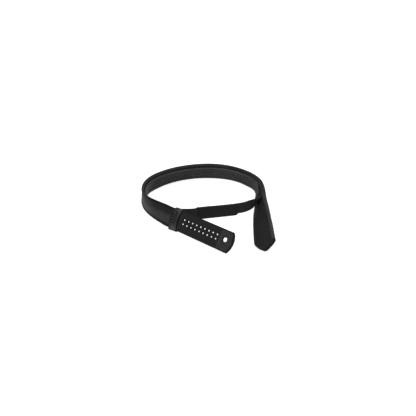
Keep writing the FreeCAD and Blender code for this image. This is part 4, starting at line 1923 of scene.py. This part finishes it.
    def build(self) -> None:
        """Builds and dresses the tab."""
        shop, finishes = self.shop, self.shop.wardrobe
        carrier = Carrier("tab")
        stud, core_stud = (
            (*shop.sizes.stud_hole, radius) for radius in (self.stud_radius, self.core_stud_radius)
        )
        holes, core_holes = [*self._holes(self.hole_radius), stud], [*self._holes(self.core_hole_radius), core_stud]
        whole = self._outline(0.0, self.inner_end)
        drawn = self._outline(self.core_inset, self.inner_end)
        patch = self._outline(self.patch_inset, self.patch_length)
        half, low, top, thick = self.half_thickness, self.core_bottom, self.core_top, self.patch_thickness
        front = self._plate(whole, holes, top, half, self.leather_rim)
        core = self._plate(drawn, core_holes, low, top, self.core_rim, self.core_hole_squash)
        back = self._plate(whole, holes, low, -half, self.leather_rim)
        front_patch = self._plate(patch, [stud], half, half + thick, self.patch_rim)
        back_patch = self._plate(patch, [stud], -half, -half - thick, self.patch_rim)
        parts = [
            ("tab_front_leather", front, finishes.tab, "tab_face"),
            ("tab_middle", core, finishes.core, "tab_core"),
            ("tab_back_leather", back, finishes.tab, "tab_backing"),
            ("tab_front_patch", front_patch, finishes.patch, "tab_end_patch_front"),
            ("tab_back_patch", back_patch, finishes.patch, "tab_end_patch_back"),
        ]
        for name, flat, finish, node in parts:
            self.pieces.append(shop.finished(flat, shop.band, name, finish, carrier, (node,)))
        self.pieces.append(shop.finished(self._zigzag(), shop.band, "tab_end_seams", finishes.tack, carrier))


# ---- The keeper


@dataclass
class Keeper:
    """The woven sleeve round the tab's root, with the hem along its mouth and its bar tacks."""

    shop: Workshop
    centre: float = 59.5
    length: float = 8.2
    short_back: float = 1.0
    bow: float = 1.5
    bow_shift: float = 0.5
    clearance: float = 0.45
    wall: float = 0.35
    slant: float = 8.0
    low_fold: Pair = (6.2, 2.6)
    high_fold: Pair = (5.0, 3.8)
    fold_draw: float = 2.6
    fold_sag: float = 0.7
    top_short: float = 0.9
    top_ahead: float = 0.6
    mouth_drop: float = 0.68
    mouth_share: float = 0.4
    hem_inset: float = 0.1
    hem_length: float = 1.15
    hem_thickness: float = 0.2
    hem_roll: float = 0.12
    hem_reach: Pair = (-6.4, 7.9)
    tack_length: float = 2.2
    tack_width: float = 0.9
    tack_height: float = 0.45
    tack_pitch: float = 2.25
    tack_rows: int = 5
    tack_middle: float = -0.3
    tack_turn: float = 20.0
    tack_columns: tuple[Pair, ...] = ((-0.3, 1.0), (3.1, 0.6))
    tack_turns: int = 7
    pieces: list[bpy.types.Object] = field(default_factory=list)

    @property
    def start(self) -> float:
        """Where the mouth nearer the tab's end lies."""
        return self.centre - self.length / 2

    @property
    def end(self) -> float:
        """Where the other mouth lies."""
        return self.centre + self.length / 2 - self.short_back

    def _slide(self, across: float) -> float:
        """How far the keeper's slant and bow move it along at a distance across."""
        half = self.shop.sizes.half_width
        return across * math.tan(math.radians(self.slant)) + self.bow_shift - self.bow * (across / half) ** 2

    def _settled(self, point: Vector) -> Vector:
        """Lets the sleeve settle: slanted, drawn in at its folds, lowered onto the tab at its mouth."""
        s = self.shop.sizes
        low = clamped((-point.y - self.low_fold[0]) / self.low_fold[1])
        high = clamped((point.y - self.high_fold[0]) / self.high_fold[1])
        share = (point.x - self.start) / (self.end - self.start)
        flank = max(0.0, 1 - (point.z / (s.half_band + self.clearance + self.wall)) ** 2)
        drawn = low * (1 - share) * self.fold_draw * (0.25 + 0.75 * flank)
        drawn -= high * (self.top_ahead * (1 - share) + self.top_short * share)
        lowered = self.mouth_drop * max(0.0, 1 - share / self.mouth_share) ** 2 * (1 - low) * (1 - high)
        sag = self.fold_sag * low * share
        x = point.x + drawn + self._slide(point.y)
        return Vector((x, point.y - sag * 0.7, point.z - math.copysign(lowered, point.z) + sag))

    def _sleeve(self) -> FlatPiece:
        """The sleeve: a rounded tube with a wall, its mouths slanted."""
        s = self.shop.sizes
        growth = self.clearance + self.wall
        half, rise = s.half_width + growth, s.half_band + growth
        section = with_runs(rounded_box(-half, half, -rise, rise, growth, 6), 0.8)
        flat = FlatPiece().sweep(section, even_places(self.start, self.end, 0.4), closed=False)
        bmesh.ops.solidify(flat.mesh, geom=flat.mesh.faces[:], thickness=self.wall)
        bmesh.ops.recalc_face_normals(flat.mesh, faces=flat.mesh.faces)
        return flat.shape(self._settled)

    def _hem(self, top: float) -> FlatPiece:
        """The folded hem along the mouth nearer the tab's end."""
        start = self.start + self.hem_inset
        section = with_runs(rounded_box(*self.hem_reach, top, top + self.hem_thickness, 0.09, 3), 0.8)
        flat = FlatPiece().sweep(section, even_places(start, start + self.hem_length, 0.18))

        def roll(point: Vector) -> Vector:
            """Rounds the hem over and settles it with the sleeve."""
            share = 2 * (point.x - start) / self.hem_length - 1
            drop = self.hem_roll * share**4 * (point.z - top) / self.hem_thickness
            return self._settled(Vector((point.x, point.y, point.z - drop)))

        return flat.shape(roll)

    def _tacks(self, top: float) -> FlatPiece:
        """Bar tacks, each a close row of thread turns."""
        flat = FlatPiece()
        for column, share in self.tack_columns:
            length, width = self.tack_length * share, self.tack_width * share
            for row in range(self.tack_rows):
                across = (row - (self.tack_rows - 1) / 2) * self.tack_pitch + self.tack_middle
                turn = Matrix.Rotation(math.radians(self.tack_turn), 4, "Z")
                place = Matrix.Translation((self.centre - column, across, top + self.tack_height * 0.3)) @ turn
                for i in range(self.tack_turns):
                    shift = Matrix.Translation(((i - self.tack_turns // 2) * length / 7.5, 0, 0))
                    size = Matrix.Diagonal((length / 6.2, width * 1.1, self.tack_height * 1.3, 1.0))
                    whole = place @ (shift @ Matrix.Rotation(0.35, 4, "Z")) @ size
                    bmesh.ops.create_uvsphere(flat.mesh, u_segments=8, v_segments=5, radius=0.5, matrix=whole)
        return flat.shape(self._settled)

    def build(self) -> None:
        """Builds and dresses the keeper."""
        shop, finishes = self.shop, self.shop.wardrobe
        carrier = Carrier("keeper")
        top = shop.sizes.half_band + self.clearance + self.wall
        parts = [
            ("keeper_sleeve", self._sleeve(), finishes.keeper, "keeper_cuff"),
            ("keeper_mouth_hem", self._hem(top), finishes.hem, "keeper_hem"),
            ("keeper_bar_tacks", self._tacks(top), finishes.tack, "keeper_tacks"),
        ]
        for name, flat, finish, node in parts:
            self.pieces.append(shop.finished(flat, shop.band, name, finish, carrier, (node,)))


# ---- The studio


@dataclass
class Studio:
    """The pale floor, the soft lamps and the camera."""

    camera_place: tuple[float, float, float] = (0.00315, -0.514424, 0.277106)
    camera_tilt: float = 62.0
    lens: float = 61.0
    sensor: float = 36.0
    clip: Pair = (0.01, 50.0)
    floor_size: float = 6.0
    floor_tone: float = 0.8
    floor_glow: float = 0.75
    ambient: float = 0.5
    lamps: tuple[tuple[str, tuple[float, float, float], float, float], ...] = (
        ("left_softbox", (-0.75, -0.25, 0.45), 0.5, 3.0),
        ("top_softbox", (0.1, 0.15, 0.95), 0.8, 1.6),
        ("front_fill", (0.35, -0.8, 0.5), 0.6, 1.2),
    )

    def _seen(self, sketch: NodeSketch) -> bpy.types.NodeSocket:
        """Whether a ray comes from the camera, or through gloss or glass."""
        path = sketch.node("LightPath")
        first = sketch.sum("MAXIMUM", path.outputs["Is Camera Ray"], path.outputs["Is Glossy Ray"])
        return sketch.sum("MAXIMUM", first, path.outputs["Is Transmission Ray"])

    def _floor(self) -> bpy.types.Object:
        """The plain pale floor, which keeps the object's shadow."""
        mesh = bmesh.new()
        bmesh.ops.create_grid(mesh, x_segments=8, y_segments=8, size=self.floor_size / 2)
        data = bpy.data.meshes.new("studio_floor")
        mesh.to_mesh(data)
        mesh.free()
        floor = bpy.data.objects.new("studio_floor", data)
        bpy.context.scene.collection.objects.link(floor)
        material = bpy.data.materials.new("pale_floor")
        sketch = NodeSketch(material)
        glow = sketch.node("Emission")
        glow.inputs["Color"].default_value = (1, 1, 1, 1)
        sketch.join(sketch.sum("MULTIPLY", self._seen(sketch), self.floor_glow), glow.inputs["Strength"])
        matte = sketch.node("BsdfDiffuse")
        matte.inputs["Color"].default_value = (*[self.floor_tone] * 3, 1)
        both = sketch.node("AddShader")
        sketch.join(glow.outputs[0], both.inputs[0])
        sketch.join(matte.outputs[0], both.inputs[1])
        output = sketch.node("OutputMaterial")
        sketch.join(both.outputs[0], output.inputs["Surface"])
        data.materials.append(material)
        return floor

    def _world(self) -> None:
        """The even surround, white where it is seen."""
        world = bpy.data.worlds.new("studio_surround")
        bpy.context.scene.world = world
        sketch = NodeSketch(world)
        strength = sketch.sum("MULTIPLY_ADD", self._seen(sketch), 1 - self.ambient, self.ambient)
        glow = sketch.node("Background")
        glow.inputs["Color"].default_value = (1, 1, 1, 1)
        sketch.join(strength, glow.inputs["Strength"])
        output = sketch.node("OutputWorld")
        sketch.join(glow.outputs[0], output.inputs["Surface"])

    def _lamp(self, name: str, place: tuple[float, float, float], size: float, power: float) -> None:
        """A soft square lamp that looks at the object."""
        light = bpy.data.lights.new(name, "AREA")
        light.shape = "SQUARE"
        light.size = size
        light.energy = power
        lamp = bpy.data.objects.new(name, light)
        lamp.location = place
        lamp.rotation_euler = (-Vector(place)).to_track_quat("-Z", "Y").to_euler()
        bpy.context.scene.collection.objects.link(lamp)

    def _camera(self) -> None:
        """The camera at the photographed angle."""
        data = bpy.data.cameras.new("studio_camera")
        data.lens = self.lens
        data.sensor_width = self.sensor
        data.clip_start, data.clip_end = self.clip
        camera = bpy.data.objects.new("studio_camera", data)
        camera.location = self.camera_place
        camera.rotation_euler = (math.radians(self.camera_tilt), 0, 0)
        bpy.context.scene.collection.objects.link(camera)
        bpy.context.scene.camera = camera

    def build(self) -> None:
        """Sets the studio up."""
        bpy.context.scene.view_settings.view_transform = "Standard"
        self._camera()
        self._floor()
        self._world()
        for lamp in self.lamps:
            self._lamp(*lamp)


def main() -> None:
    """Builds the strap's looks in order."""
    logging.basicConfig(level=logging.INFO, format="%(message)s")
    Studio().build()
    shop = Workshop.opened(SIZES)
    for assembly in (OuterBand(shop), Liner(shop), Closure(shop), Tab(shop), Keeper(shop)):
        assembly.build()
        logger.info("%s: %d pieces", type(assembly).__name__, len(assembly.pieces))


if __name__ == "__main__":
    main()
